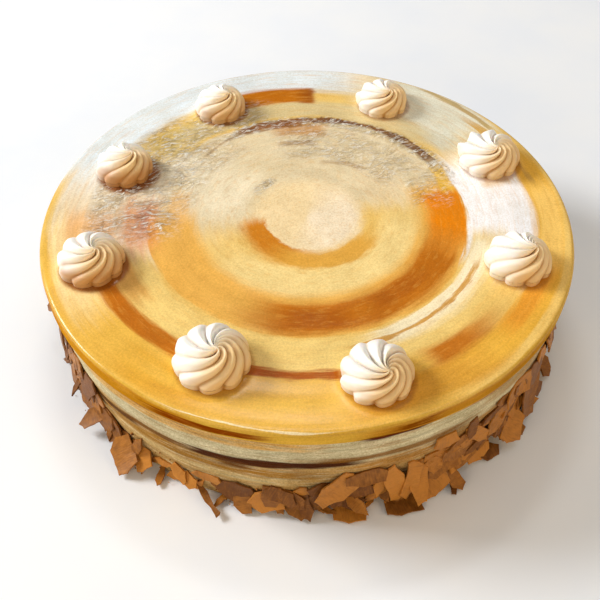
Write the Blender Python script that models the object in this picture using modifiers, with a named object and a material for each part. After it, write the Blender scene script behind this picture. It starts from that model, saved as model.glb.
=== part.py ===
"""Mocha cake: a round glazed cake with eight piped rosettes and a collar of chocolate flakes round its foot.

Metres, +Z up. The origin is the centre of the underside, and the cake's front looks along -Y.
The cake with its flakes is one closed solid, and each rosette is one more.
"""
import math
import random
from dataclasses import dataclass

import bmesh
import bpy
from mathutils import Vector

MM = 0.001

# The cake
TOP_RADIUS = 126.5 * MM
FOOT_RADIUS = 119.8 * MM
HEIGHT = 65.3 * MM
RIM_ROUND = 2.2 * MM          # rounding of the top edge
FOOT_ROUND = 1.2 * MM
GLAZE_DEPTH = 8.0 * MM        # how far the glaze runs down the side
GLAZE_LIP = 0.9 * MM          # how far it stands proud there
GLAZE_SWAY = 1.8 * MM         # the lip hangs lower on one side
GLAZE_SWAY_AT = math.radians(165)
CAKE_STEPS = 96

# The rosettes
ROSETTE_GAP = 0.3 * MM
ROSETTE_RIDGES = 9
STEPS_PER_RIDGE = 4
RIDGE_DEPTH = 0.17            # of the rosette's radius
RIDGE_CREST = 0.25            # where in its period a ridge is highest
ROSETTE_HEIGHT = 0.96         # of the rosette's radius
ROSETTE_TWIST = math.radians(105)
BASE_SHARE = 0.93             # radius of its base, of the rosette's radius
SHOULDER = 0.2                # height at which it is widest, in rosette heights
DOME_POWER = 2.3              # how square the dome is

# The flakes
FLAKE_THICK = 1.3 * MM
FLAKE_BITE = 0.5 * MM         # how deep a flake sits in the wall
FLAKE_CLEAR = 0.4 * MM        # height of the lowest flake over the table
FLAKE_SEED = 11


@dataclass(frozen=True)
class Rosette:
    """One piped rosette: place, size, and where its tip leans."""
    angle: float      # degrees round the cake
    ring: float       # mm from the axis
    radius: float     # mm
    lean: float       # direction of the tip, degrees
    reach: float      # how far the tip sits off centre, in radii
    turn: float       # degrees of the first ridge


@dataclass(frozen=True)
class Flake:
    """One flake: place on the wall, size, and how it is turned and tipped."""
    angle: float      # degrees round the cake
    mid: float        # mm, height of its middle
    length: float     # mm
    width: float      # mm
    turn: float       # degrees in its own plane, 0 = level
    tip: float        # degrees, 0 = flat on the wall, 90 = lying down
    corners: int = 7


ROSETTES = (
    Rosette(-160.6, 103.5, 15.4, -40, 0.34, 0),
    Rosette(160.1, 97.5, 14.2, 0, 0.34, 14),
    Rosette(118.6, 98.0, 13.8, -15, 0.38, 31),
    Rosette(65.8, 100.0, 13.9, -50, 0.36, 8),
    Rosette(24.2, 101.5, 15.4, -70, 0.36, 22),
    Rosette(-19.0, 101.5, 15.0, -15, 0.42, 5),
    Rosette(-73.8, 103.0, 15.4, -60, 0.48, 17),
    Rosette(-112.9, 99.5, 16.5, -50, 0.30, 27),
)

# The large flakes at the front, left to right
FRONT_FLAKES = (
    Flake(-172, 24, 15, 12, -60, 38), Flake(-155, 10, 18, 11, -50, 16), Flake(-141, 13, 25, 14, -12, 14),
    Flake(-133, 8, 14, 11, -26, 30), Flake(-128, 1, 9, 6, 20, 82), Flake(-122, 1, 11, 4, -70, 84),
    Flake(-110, 3, 21, 4, -36, 72), Flake(-108, 1, 10, 3, 70, 84), Flake(-104, 10, 23, 14, -8, 9),
    Flake(-97, 11, 16, 10, 84, 12), Flake(-92.5, 5, 16, 8, -28, 50), Flake(-89, 9, 14, 8, 40, 14),
    Flake(-84, 20, 25, 14, 46, 12), Flake(-78, 26, 21, 9, 6, 22), Flake(-81, 1, 18, 11, 0, 80),
    Flake(-72, 18, 26, 10, -78, 8), Flake(-70, 1, 19, 14, -5, 84), Flake(-67, 14, 25, 10, 84, 26),
    Flake(-63, 7, 17, 13, 25, 32), Flake(-61, 25, 22, 6, -10, 4), Flake(-58, 1, 17, 3.5, 55, 82),
    Flake(-54, 11, 18, 9, 15, 20), Flake(-46, 25, 19, 14, 58, 6), Flake(-33, 16, 30, 20, 66, 13),
    Flake(-18, 24, 17, 13, 50, 12),
)

# The rest, tier by tier: how many, then height of the middle, length and tip, each from low to high
TIERS = (
    (54, (7, 18), (16, 28), (3, 16)),
    (34, (4, 12), (12, 22), (25, 55)),
    (24, (1, 2), (7, 14), (74, 86)),
)
LOOSE_CORNERS = 6
SLENDER = (0.28, 0.75)                 # width over length
SPARSE_FROM, SPARSE_TO = -128, -106    # degrees: bare stretch of the front
FRONT_FROM, FRONT_TO = -178, -12       # degrees: where the large flakes above are
FRONT_SHARE = 0.6                      # share of the rest that is kept there


def material(name, colour, roughness):
    """A plain material in one colour."""
    mat = bpy.data.materials.new(name)
    mat.use_nodes = True
    shader = mat.node_tree.nodes["Principled BSDF"]
    shader.inputs["Base Color"].default_value = (*colour, 1.0)
    shader.inputs["Roughness"].default_value = roughness
    shader.inputs["Metallic"].default_value = 0.0
    return mat


def collection(name):
    """A new collection in the scene."""
    coll = bpy.data.collections.new(name)
    bpy.context.scene.collection.children.link(coll)
    return coll


def add_object(name, mesh, coll, mat=None):
    """An object for a mesh, linked to a collection."""
    obj = bpy.data.objects.new(name, mesh)
    coll.objects.link(obj)
    if mat:
        mesh.materials.append(mat)
    return obj


def apply_modifiers(obj):
    """Replace an object's mesh by its evaluated one."""
    bpy.context.view_layer.update()
    evaluated = obj.evaluated_get(bpy.context.evaluated_depsgraph_get())
    mesh = bpy.data.meshes.new_from_object(evaluated)
    obj.modifiers.clear()
    obj.data = mesh


def turned(name, profile, steps, coll, mat):
    """A body turned from a profile of (radius, height), which starts and ends on the axis."""
    bm = bmesh.new()
    points = [bm.verts.new((radius, 0.0, height)) for radius, height in profile]
    for first, second in zip(points, points[1:]):
        bm.edges.new((first, second))
    mesh = bpy.data.meshes.new(name)
    bm.to_mesh(mesh)
    bm.free()
    obj = add_object(name, mesh, coll, mat)
    screw = obj.modifiers.new("Turn", "SCREW")
    screw.steps = screw.render_steps = steps
    screw.use_merge_vertices = True
    screw.merge_threshold = 0.00001
    apply_modifiers(obj)
    return obj


def wall_radius(height):
    """The wall's radius below the glaze."""
    share = min(max(height / HEIGHT, 0.0), 1.0)
    return FOOT_RADIUS + (TOP_RADIUS - GLAZE_LIP - FOOT_RADIUS) * share


def arc(centre, radius, start, end, steps):
    """Points on an arc in the profile's plane, angles in degrees."""
    angles = [math.radians(start + (end - start) * k / steps) for k in range(steps + 1)]
    return [(centre[0] + radius * math.cos(a), centre[1] + radius * math.sin(a)) for a in angles]


def cake_profile():
    """The cake's outline from the top's centre down to the underside's centre."""
    lip_end = HEIGHT - GLAZE_DEPTH
    profile = [(0.0, HEIGHT)]
    profile += arc((TOP_RADIUS - RIM_ROUND, HEIGHT - RIM_ROUND), RIM_ROUND, 90, 0, 3)
    profile += [(TOP_RADIUS - 0.2 * MM, lip_end + 1.0 * MM)]
    profile += [(wall_radius(lip_end), lip_end), (wall_radius(HEIGHT / 2), HEIGHT / 2)]
    profile += arc((FOOT_RADIUS - FOOT_ROUND, FOOT_ROUND), FOOT_ROUND, 0, -90, 1)
    return profile + [(0.0, 0.0)]


def hang_glaze(obj):
    """Let the lip of the glaze hang lower on one side."""
    for vert in obj.data.vertices:
        x, y, z = vert.co
        below_rim = HEIGHT - RIM_ROUND - z
        if math.hypot(x, y) > FOOT_RADIUS and MM < below_rim < GLAZE_DEPTH:
            sway = math.cos(math.atan2(y, x) - GLAZE_SWAY_AT)
            vert.co.z -= GLAZE_SWAY * sway


def build_cake_body(coll, mat):
    """The bare cake."""
    cake = turned("cake", cake_profile(), CAKE_STEPS, coll, mat)
    hang_glaze(cake)
    return cake


def loose_flakes(rng):
    """The flakes between and behind the large ones, by tier and seeded draw."""
    flakes = []
    for count, mids, lengths, tips in TIERS:
        for k in range(count):
            angle = -180 + 360 * (k + rng.uniform(0.1, 0.9)) / count
            length = rng.uniform(*lengths)
            width = length * rng.uniform(*SLENDER)
            turn = rng.uniform(-85, 85)
            flake = Flake(angle, rng.uniform(*mids), length, width, turn, rng.uniform(*tips), LOOSE_CORNERS)
            keep = FRONT_SHARE if FRONT_FROM < angle < FRONT_TO else 1.0
            if rng.random() < keep and not SPARSE_FROM < angle < SPARSE_TO:
                flakes.append(flake)
    return flakes


def flake_outline(flake, rng):
    """Corners of a broken flake in its own plane, and the bow of its ends, in metres."""
    corners = []
    for k in range(flake.corners):
        angle = math.tau * (k + rng.uniform(-0.28, 0.28)) / flake.corners
        across, along = math.sin(angle), math.cos(angle)
        square = max(abs(across), abs(along)) ** -0.75      # between an ellipse and a rectangle
        reach = square * rng.uniform(0.82, 1.0)
        corners.append((along * reach * flake.length * MM / 2, across * reach * flake.width * MM / 2))
    return corners, rng.uniform(-0.06, 0.09) * flake.length * MM


def flake_frame(flake):
    """Unit vectors at the flake: along, across and outward, and the way out from the axis."""
    angle, turn, tip = (math.radians(value) for value in (flake.angle, flake.turn, flake.tip))
    outward = Vector((math.cos(angle), math.sin(angle), 0.0))
    level = Vector((-math.sin(angle), math.cos(angle), 0.0))
    rising = Vector((0.0, 0.0, math.cos(tip))) - outward * math.sin(tip)
    along = level * math.cos(turn) + rising * math.sin(turn)
    across = rising * math.cos(turn) - level * math.sin(turn)
    return along, across, along.cross(across), outward


def set_flake_down(points, outward):
    """Lift the flake's points off the table and bring them up against the wall."""
    low = min(point.z for point in points)
    if low < FLAKE_CLEAR:
        points = [point + Vector((0.0, 0.0, FLAKE_CLEAR - low)) for point in points]
    gap = min(math.hypot(point.x, point.y) - wall_radius(point.z) for point in points)
    return [point - outward * (gap + FLAKE_BITE) for point in points]


def flake_points(flake, rng):
    """The flake's middle and corners where it lies, and the way it faces."""
    corners, bow = flake_outline(flake, rng)
    along, across, facing, outward = flake_frame(flake)
    start = outward * (FOOT_RADIUS + 30 * MM) + Vector((0.0, 0.0, flake.mid * MM))
    points = [start]
    for x, y in corners:
        bend = bow * (2 * x / (flake.length * MM)) ** 2
        points.append(start + along * x + across * y + facing * bend)
    return set_flake_down(points, outward), facing


def build_flake(flake, index, coll):
    """One flake: a fan of triangles pressed into a broken outline, bowed and thickened."""
    points, facing = flake_points(flake, random.Random(FLAKE_SEED * 1000 + index))
    bm = bmesh.new()
    bmesh.ops.create_circle(bm, cap_ends=True, cap_tris=True, segments=flake.corners, radius=1.0)
    verts = sorted(bm.verts, key=lambda v: -1 if v.co.length < 0.5 else math.atan2(v.co.y, v.co.x) % math.tau)
    for vert, point in zip(verts, points):
        vert.co = point
    made = bmesh.ops.extrude_face_region(bm, geom=bm.faces[:], use_keep_orig=True)
    outer = [part for part in made["geom"] if isinstance(part, bmesh.types.BMVert)]
    bmesh.ops.translate(bm, vec=facing * FLAKE_THICK, verts=outer)
    bmesh.ops.recalc_face_normals(bm, faces=bm.faces[:])
    mesh = bpy.data.meshes.new("flake")
    bm.to_mesh(mesh)
    bm.free()
    return add_object(f"flake_{index:03d}", mesh, coll)


def fuse(obj, coll):
    """Join a collection's objects to one object, and remove them."""
    union = obj.modifiers.new("Fuse", "BOOLEAN")
    union.operation = "UNION"
    union.operand_type = "COLLECTION"
    union.collection = coll
    union.solver = "MANIFOLD"
    apply_modifiers(obj)
    for piece in list(coll.objects):
        bpy.data.objects.remove(piece)
    bpy.data.collections.remove(coll)


def keep_largest(obj):
    """Drop every shell but the one with the most vertices."""
    bm = bmesh.new()
    bm.from_mesh(obj.data)
    bm.verts.ensure_lookup_table()
    unseen, shells = set(bm.verts), []
    while unseen:
        shell, edge = set(), [unseen.pop()]
        while edge:
            vert = edge.pop()
            shell.add(vert)
            for link in vert.link_edges:
                other = link.other_vert(vert)
                if other in unseen:
                    unseen.remove(other)
                    edge.append(other)
        shells.append(shell)
    shells.sort(key=len)
    for shell in shells[:-1]:
        bmesh.ops.delete(bm, geom=list(shell), context="VERTS")
    bm.to_mesh(obj.data)
    bm.free()


def build_cake(coll, mat):
    """The cake with its collar of flakes, in one solid."""
    cake = build_cake_body(coll, mat)
    pieces = collection("flakes")
    flakes = list(FRONT_FLAKES) + loose_flakes(random.Random(FLAKE_SEED))
    for index, flake in enumerate(flakes):
        build_flake(flake, index, pieces)
    fuse(cake, pieces)
    keep_largest(cake)
    return cake


def ridge(phase):
    """Height of a ridge, 0 to 1, over one period: a steep rise and a slow fall."""
    share = phase % 1.0
    return share / RIDGE_CREST if share < RIDGE_CREST else (1 - share) / (1 - RIDGE_CREST)


def dome(far):
    """Height of the plain dome at a distance from its middle, in rosette heights and radii."""
    return SHOULDER + (1 - SHOULDER) * math.sqrt(1 - min(far, 1.0) ** DOME_POWER)


def swirl(obj, rosette):
    """Turn a plain dome into a piped swirl: ridges that wind in to an off-centre tip."""
    radius = rosette.radius * MM
    lean = math.radians(rosette.lean)
    tip = Vector((math.cos(lean), math.sin(lean))) * rosette.reach
    for vert in obj.data.vertices:
        x, y, z = vert.co
        share = min(math.hypot(x, y) / radius, 1.0)
        up = z / (ROSETTE_HEIGHT * radius)
        if up < SHOULDER / 2:
            continue
        inward = 1 - share
        column = math.atan2(y, x)
        angle = column + ROSETTE_TWIST * inward ** 0.8 - math.radians(rosette.turn)
        outward = Vector((math.cos(angle), math.sin(angle)))
        far = min((tip * inward + outward * share).length, 1.0)
        depth = RIDGE_DEPTH * min(1.0, 2.2 * share) * (1 - ridge(ROSETTE_RIDGES * column / math.tau))
        flat = tip * inward + outward * (share - depth * (0.35 + 0.65 * far ** 2))
        tall = dome(far) * ROSETTE_HEIGHT - depth * (1 - far ** 2) * 0.8
        vert.co = Vector((flat.x, flat.y, tall)) * radius


def rosette_profile(radius):
    """A rosette's outline before the swirl, from its tip down to the middle of its base."""
    shares = (0.0, 0.13, 0.35, 0.59, 0.81, 0.96, 1.0)
    profile = [(radius * out, ROSETTE_HEIGHT * radius * dome(out)) for out in shares]
    return profile + [(radius * BASE_SHARE, 0.0), (0.0, 0.0)]


def build_rosette(rosette, name, coll, mat):
    """One rosette, standing just over the cake's top."""
    steps = ROSETTE_RIDGES * STEPS_PER_RIDGE
    obj = turned(name, rosette_profile(rosette.radius * MM), steps, coll, mat)
    swirl(obj, rosette)
    angle = math.radians(rosette.angle)
    obj.location = (rosette.ring * MM * math.cos(angle), rosette.ring * MM * math.sin(angle), HEIGHT + ROSETTE_GAP)
    return obj


def main():
    """Build the cake and its rosettes."""
    for obj in list(bpy.data.objects):
        bpy.data.objects.remove(obj)
    coll = collection("mocha_cake")
    glaze = material("marbled_glaze", (0.78, 0.50, 0.17), 0.2)
    cream = material("piped_cream", (0.93, 0.84, 0.66), 0.5)
    build_cake(coll, glaze)
    for number, rosette in enumerate(ROSETTES, 1):
        build_rosette(rosette, f"rosette_{number}", coll, cream)


main()
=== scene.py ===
"""Looks of the mocha cake: marbled gel glaze, cream sides, piped rosettes and a collar of chocolate flakes.

Metres, +Z up. The origin is the centre of the underside, and the cake's front looks along -Y.
Angles round the cake are in degrees, 0 along +X and 90 along +Y.
"""
import logging
import math
import random
from dataclasses import dataclass, field
from enum import Enum
from typing import Any

import bpy
from mathutils import Matrix, Vector, noise


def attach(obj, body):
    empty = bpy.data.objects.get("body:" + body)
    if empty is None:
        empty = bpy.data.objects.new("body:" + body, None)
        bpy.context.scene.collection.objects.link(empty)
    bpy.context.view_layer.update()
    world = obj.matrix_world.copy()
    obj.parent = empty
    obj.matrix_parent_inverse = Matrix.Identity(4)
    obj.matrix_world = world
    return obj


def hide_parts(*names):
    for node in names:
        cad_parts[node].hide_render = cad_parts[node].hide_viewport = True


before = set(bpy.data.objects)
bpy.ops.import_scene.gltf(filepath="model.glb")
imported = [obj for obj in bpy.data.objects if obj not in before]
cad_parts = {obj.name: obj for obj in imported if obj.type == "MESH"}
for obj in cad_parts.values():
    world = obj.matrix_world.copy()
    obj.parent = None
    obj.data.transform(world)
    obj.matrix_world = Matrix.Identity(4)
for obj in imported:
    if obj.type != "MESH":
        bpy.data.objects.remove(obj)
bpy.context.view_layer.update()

LOG = logging.getLogger("mocha_cake")
MM = 0.001
BODY = "root"

# Sizes that the cake's pieces share
TOP_RADIUS = 126.5 * MM
FOOT_RADIUS = 119.8 * MM
HEIGHT = 65.3 * MM
GLAZE_DEPTH = 8.0 * MM
GLAZE_LIP = 0.9 * MM
GLAZE_SWAY = 1.8 * MM
GLAZE_SWAY_AT = math.radians(165)

# How far under the top the glaze starts and ends to lose its shine, mm
RIM_SHINES = 0.6
RIM_DULL = 2.2

Colour = tuple[float, float, float]


class Slot(Enum):
    """Names of material slots."""
    GLAZE = "marbled_glaze"
    CREAM = "piped_cream"


class Side(Enum):
    """Which reach a marbled finish is drawn over."""
    OVER_THE_TOP = "distance from the axis, running on down over the rim"
    UP_THE_WALL = "height over the table"


def srgb(red: float, green: float, blue: float) -> Colour:
    """Linear colour for 8-bit screen values."""
    shares = (value / 255 for value in (red, green, blue))
    return tuple(v / 12.92 if v <= 0.04045 else ((v + 0.055) / 1.055) ** 2.4 for v in shares)


def smoothstep(value: float, low: float, high: float) -> float:
    """Smooth step from 0 at low to 1 at high, where low may lie above high."""
    share = min(max((value - low) / (high - low), 0.0), 1.0)
    return share * share * (3 - 2 * share)


# --------------------------------------------------------------------------------------------------
# Nodes
# --------------------------------------------------------------------------------------------------


class Value:
    """A number socket in a node tree. Each operator adds one Math node."""

    def __init__(self, graph: "Graph", socket: bpy.types.NodeSocket) -> None:
        """Wrap a socket of the graph."""
        self.graph = graph
        self.socket = socket

    def math(self, operation: str, *terms: Any) -> "Value":
        """One Math node on the given terms.

        Args:
            operation: the Math node's operation.
            *terms: values or numbers, in the order of the node's sockets.

        Returns:
            The node's result.
        """
        node = self.graph.node("ShaderNodeMath", {"operation": operation}, dict(enumerate(terms)))
        return Value(self.graph, node.outputs[0])

    def to(self, operation: str, *terms: Any) -> "Value":
        """One Math node on this value and the given terms.

        Args:
            operation: the Math node's operation.
            *terms: values or numbers for the sockets after the first.

        Returns:
            The node's result.
        """
        return self.math(operation, self, *terms)

    def __add__(self, other: Any) -> "Value":
        """Sum."""
        return self.math("ADD", self, other)

    def __radd__(self, other: Any) -> "Value":
        """Sum, with the number on the left."""
        return self.math("ADD", other, self)

    def __sub__(self, other: Any) -> "Value":
        """Difference."""
        return self.math("SUBTRACT", self, other)

    def __rsub__(self, other: Any) -> "Value":
        """Difference, with the number on the left."""
        return self.math("SUBTRACT", other, self)

    def __mul__(self, other: Any) -> "Value":
        """Product."""
        return self.math("MULTIPLY", self, other)

    def __rmul__(self, other: Any) -> "Value":
        """Product, with the number on the left."""
        return self.math("MULTIPLY", other, self)

    def __truediv__(self, other: Any) -> "Value":
        """Quotient."""
        return self.math("DIVIDE", self, other)

    def __pow__(self, other: Any) -> "Value":
        """Power."""
        return self.math("POWER", self, other)

    def most(self, other: Any) -> "Value":
        """The larger of two."""
        return self.math("MAXIMUM", self, other)

    def least(self, other: Any) -> "Value":
        """The smaller of two."""
        return self.math("MINIMUM", self, other)

    def step(self, low: float, high: float, top: float = 1.0) -> "Value":
        """Smooth step from 0 at low to top at high, where low may lie above high."""
        node = self.graph.node(
            "ShaderNodeMapRange", {"interpolation_type": "SMOOTHSTEP", "clamp": False},
            {"Value": self, "From Min": low, "From Max": high, "To Max": top},
        )
        return Value(self.graph, node.outputs["Result"])


@dataclass
class Graph:
    """A node tree that grows by one call for each node."""
    tree: bpy.types.NodeTree

    def node(self, kind: str, settings: dict[str, Any] | None = None,
             inputs: dict[Any, Any] | None = None) -> Any:
        """Add a node.

        Args:
            kind: the node's type.
            settings: properties, set first; "bends" gives a float curve its points.
            inputs: numbers, colours, values or sockets for its inputs, by name or index.

        Returns:
            The new node.
        """
        node = self.tree.nodes.new(kind)
        for name, value in (settings or {}).items():
            if name == "bends":
                self.fill_curve(node.mapping, value)
            else:
                setattr(node, name, value)
        for name, value in (inputs or {}).items():
            socket = value.socket if isinstance(value, Value) else value
            if isinstance(socket, bpy.types.NodeSocket):
                self.tree.links.new(socket, node.inputs[name])
            else:
                node.inputs[name].default_value = socket
        return node

    @staticmethod
    def fill_curve(mapping: bpy.types.CurveMapping, bends: tuple[tuple[float, float], ...]) -> None:
        """Give a float curve its points."""
        points = mapping.curves[0].points
        for index, (x, y) in enumerate(bends):
            point = points[index] if index < 2 else points.new(x, y)
            point.location = (x, y)
        for point in points:
            point.handle_type = "AUTO_CLAMPED"
        mapping.update()

    def value(self, node: Any, output: Any = 0) -> Value:
        """An output of a node as a value."""
        return Value(self, node.outputs[output])

    def mix(self, share: Any, first: Any, second: Any, blend: str = "MIX") -> bpy.types.NodeSocket:
        """Mix two colours.

        Args:
            share: how much of the second shows.
            first: a colour or its socket.
            second: a colour or its socket.
            blend: the blend type.

        Returns:
            The mixed colour's socket.
        """
        colours = [(*c, 1.0) if isinstance(c, tuple) else c for c in (first, second)]
        node = self.node("ShaderNodeMix", {"data_type": "RGBA", "blend_type": blend},
                         {0: share, 6: colours[0], 7: colours[1]})
        return node.outputs[2]

    def vector(self, x: Any, y: Any, z: Any) -> bpy.types.NodeSocket:
        """A vector from three numbers."""
        return self.node("ShaderNodeCombineXYZ", None, {0: x, 1: y, 2: z}).outputs[0]

    def noise(self, place: Any, scale: float = 1.0, detail: float = 2.0, rough: float = 0.5,
              warp: float = 0.0) -> Value:
        """Noise round 0.5.

        Args:
            place: the vector it is read at.
            scale: features for each unit of the vector.
            detail: number of octaves.
            rough: share that each octave keeps.
            warp: distortion.

        Returns:
            The noise's value.
        """
        node = self.node("ShaderNodeTexNoise", None, {
            "Vector": place, "Scale": scale, "Detail": detail, "Roughness": rough, "Distortion": warp})
        return self.value(node)


@dataclass
class Finish(Graph):
    """A material's node tree, with its shader and its place on the object in millimetres."""
    material: bpy.types.Material = None
    shader: Any = None

    @classmethod
    def new(cls, name: str, **constants: Any) -> "Finish":
        """Start a material.

        Args:
            name: the material's name.
            **constants: the shader's constant inputs, with _ for a space.

        Returns:
            The finish, ready for its nodes.
        """
        material = bpy.data.materials.new(name)
        material.use_nodes = True
        shader = material.node_tree.nodes["Principled BSDF"]
        for key, value in constants.items():
            shader.inputs[key.replace("_", " ")].default_value = value
        return cls(material.node_tree, material, shader)

    def place(self) -> tuple[Value, Value, Value]:
        """Place on the object in millimetres."""
        coordinates = self.node("ShaderNodeTexCoord").outputs["Object"]
        parts = self.node("ShaderNodeSeparateXYZ", None, {0: coordinates})
        return tuple(self.value(parts, k) / MM for k in range(3))

    def bump(self, height: Value, distance: float, strength: float = 1.0) -> None:
        """Lead a relief to the shader's normal.

        Args:
            height: the relief, 0 to 1.
            distance: metres between 0 and 1.
            strength: share of the effect.
        """
        node = self.node("ShaderNodeBump", None,
                         {"Strength": strength, "Distance": distance, "Height": height})
        self.feed("Normal", node.outputs["Normal"])

    def feed(self, name: str, source: Any) -> None:
        """Link a socket or value to one of the shader's inputs."""
        socket = source.socket if isinstance(source, Value) else source
        self.tree.links.new(socket, self.shader.inputs[name])

    def dull(self, share: Value, level: float) -> None:
        """Mix in a twin of the finished shader that shines less.

        Args:
            share: how much of the twin shows.
            level: its specular level.
        """
        twin = self.node("ShaderNodeBsdfPrincipled", None, {"Specular IOR Level": level})
        for link in list(self.tree.links):
            if link.to_node == self.shader:
                self.tree.links.new(link.from_socket, twin.inputs[link.to_socket.name])
        mixed = self.node("ShaderNodeMixShader", None,
                          {0: share, 1: self.shader.outputs[0], 2: twin.outputs[0]})
        self.tree.links.new(mixed.outputs[0], self.tree.nodes["Material Output"].inputs["Surface"])


# --------------------------------------------------------------------------------------------------
# Strokes of the spatula
# --------------------------------------------------------------------------------------------------


# Degrees up to which a fade counts as crisp, and as firm; longer ones fray most
CRISP_FADE = 4.5
FIRM_FADE = 11.0


@dataclass(frozen=True)
class Stroke:
    """A soft-edged band that runs part of the way round the cake.

    Attributes:
        start: angle where it starts, degrees.
        end: angle where it ends, above start; from 360 above it the band is a ring.
        first: reach of its middle at the start, mm.
        last: reach of its middle at the end, mm.
        width: width at full strength, mm.
        inner: how far its edge at the lower reach fades, mm.
        outer: how far its other edge fades, mm.
        fade_in: degrees over which its start fades.
        fade_out: degrees over which its end fades.
        strength: how much of it shows, 0 to 1.
    """
    start: float
    end: float
    first: float
    last: float
    width: float
    inner: float
    outer: float
    fade_in: float
    fade_out: float
    strength: float

    @property
    def middle(self) -> float:
        """Angle halfway along."""
        return (self.start + self.end) / 2

    @property
    def half(self) -> float:
        """Half of its length, degrees."""
        return (self.end - self.start) / 2

    @property
    def is_ring(self) -> bool:
        """Whether it runs all the way round."""
        return self.end - self.start >= 360

    def weight(self, reach: float, angle: float) -> float:
        """Strength at a place, from plain numbers.

        Args:
            reach: mm.
            angle: degrees.

        Returns:
            0 to strength.
        """
        along = (angle - self.middle + 180) % 360 - 180
        centre = (self.first + self.last) / 2 + along * (self.last - self.first) / (2 * self.half)
        off = reach - centre
        edge = self.width / 2
        weight = smoothstep(off, -edge - self.inner, -edge) * smoothstep(off, edge + self.outer, edge)
        if not self.is_ring:
            weight *= smoothstep(along, -self.half, self.fade_in - self.half)
            weight *= smoothstep(along, self.half, self.half - self.fade_out)
        return weight * self.strength

    def mask(self, reach: Value, angles: tuple[Value, ...]) -> Value:
        """The same strength as nodes.

        Args:
            reach: mm.
            angles: degrees, from one that keeps ends crisp to one that frays them most.

        Returns:
            0 to strength.
        """
        edge = self.width / 2
        if self.is_ring:
            middle = (self.first + self.last) / 2
            inner = reach.step(middle - edge - self.inner, middle - edge)
            return inner * reach.step(middle + edge + self.outer, middle + edge, self.strength)
        fade = min(self.fade_in, self.fade_out)
        softness = int(fade > CRISP_FADE) + int(fade > FIRM_FADE)
        angle = angles[min(softness, len(angles) - 1)]
        if self.start < -180 or self.end > 180:
            angle = angle.to("WRAP", self.middle + 180, self.middle - 180)
        off, centre = reach, self.first
        if self.first != self.last:
            slope = (self.last - self.first) / (2 * self.half)
            off, centre = reach - angle.to("MULTIPLY_ADD", slope, self.first - slope * self.start), 0.0
        low, high = centre - edge, centre + edge
        across = off.step(low - self.inner, low) * off.step(high + self.outer, high)
        start = angle.step(self.start, self.start + self.fade_in)
        return across * (start * angle.step(self.end, self.end - self.fade_out, self.strength))


@dataclass(frozen=True)
class Smear:
    """A stroke in a colour."""
    colour: Colour
    stroke: Stroke


def smear(red: float, green: float, blue: float, *sizes: float) -> Smear:
    """A smear from screen colour values and the stroke's sizes, in the order of its fields."""
    return Smear(srgb(red, green, blue), Stroke(*sizes))


@dataclass(frozen=True)
class Pool:
    """A round stain with a soft edge, such as the brown gel and painted shadow at a rosette's foot.

    Attributes:
        colour: its colour.
        x: mm.
        y: mm.
        radius: mm, at full strength.
        fade: mm over which its edge fades.
        strength: how much of it shows, 0 to 1.
    """
    colour: Colour
    x: float
    y: float
    radius: float
    fade: float
    strength: float

    def mask(self, finish: "Finish", place: bpy.types.NodeSocket) -> Value:
        """Its strength at a place in mm, given as a vector at height 0."""
        middle = (self.x, self.y, 0.0)
        off = finish.node("ShaderNodeVectorMath", {"operation": "DISTANCE"}, {0: place, 1: middle})
        return finish.value(off, "Value").step(self.radius + self.fade, self.radius, self.strength)


@dataclass(frozen=True)
class Vein:
    """Fine streaks of one colour, drawn out round the cake.

    Attributes:
        colour: their colour.
        thick: mm across.
        length: mm along.
        strength: how much of them shows, 0 to 1.
    """
    colour: Colour
    thick: float
    length: float
    strength: float

    def mask(self, finish: "Finish", reach: Value, east: Value, north: Value) -> Value:
        """Their strength at a reach and a direction from the axis."""
        spread = FOOT_RADIUS / MM / self.length
        apart = self.thick * 7
        place = finish.vector(reach / self.thick, east * spread, north * spread + apart)
        return finish.noise(place, 1.0, 3.0, 0.55).step(0.50, 0.68, self.strength)


@dataclass(frozen=True)
class Streak:
    """Noise drawn out round the cake.

    Attributes:
        thick: mm across.
        turns: features along, in units of the direction from the axis.
        detail: number of octaves.
        rough: share that each octave keeps.
    """
    thick: float
    turns: float
    detail: float
    rough: float

    def at(self, finish: "Finish", reach: Value, east: Value, north: Value) -> Value:
        """Its value at a reach and a direction from the axis.

        Args:
            finish: the finish.
            reach: mm.
            east: share along +X of the direction.
            north: share along +Y of the direction.

        Returns:
            The noise, 0 to 1.
        """
        place = finish.vector(reach / self.thick, east * self.turns, north * self.turns)
        return finish.noise(place, 1.0, self.detail, self.rough)


LONG_STREAK = Streak(3.2, 3.4, 3.0, 0.55)
FINE_STREAK = Streak(0.9, 9.0, 3.0, 0.6)
HAIR_STREAK = Streak(2.0, 1.6, 2.0, 0.6)
DRAG_STREAK = Streak(0.55, 7.0, 4.0, 0.65)


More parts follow.
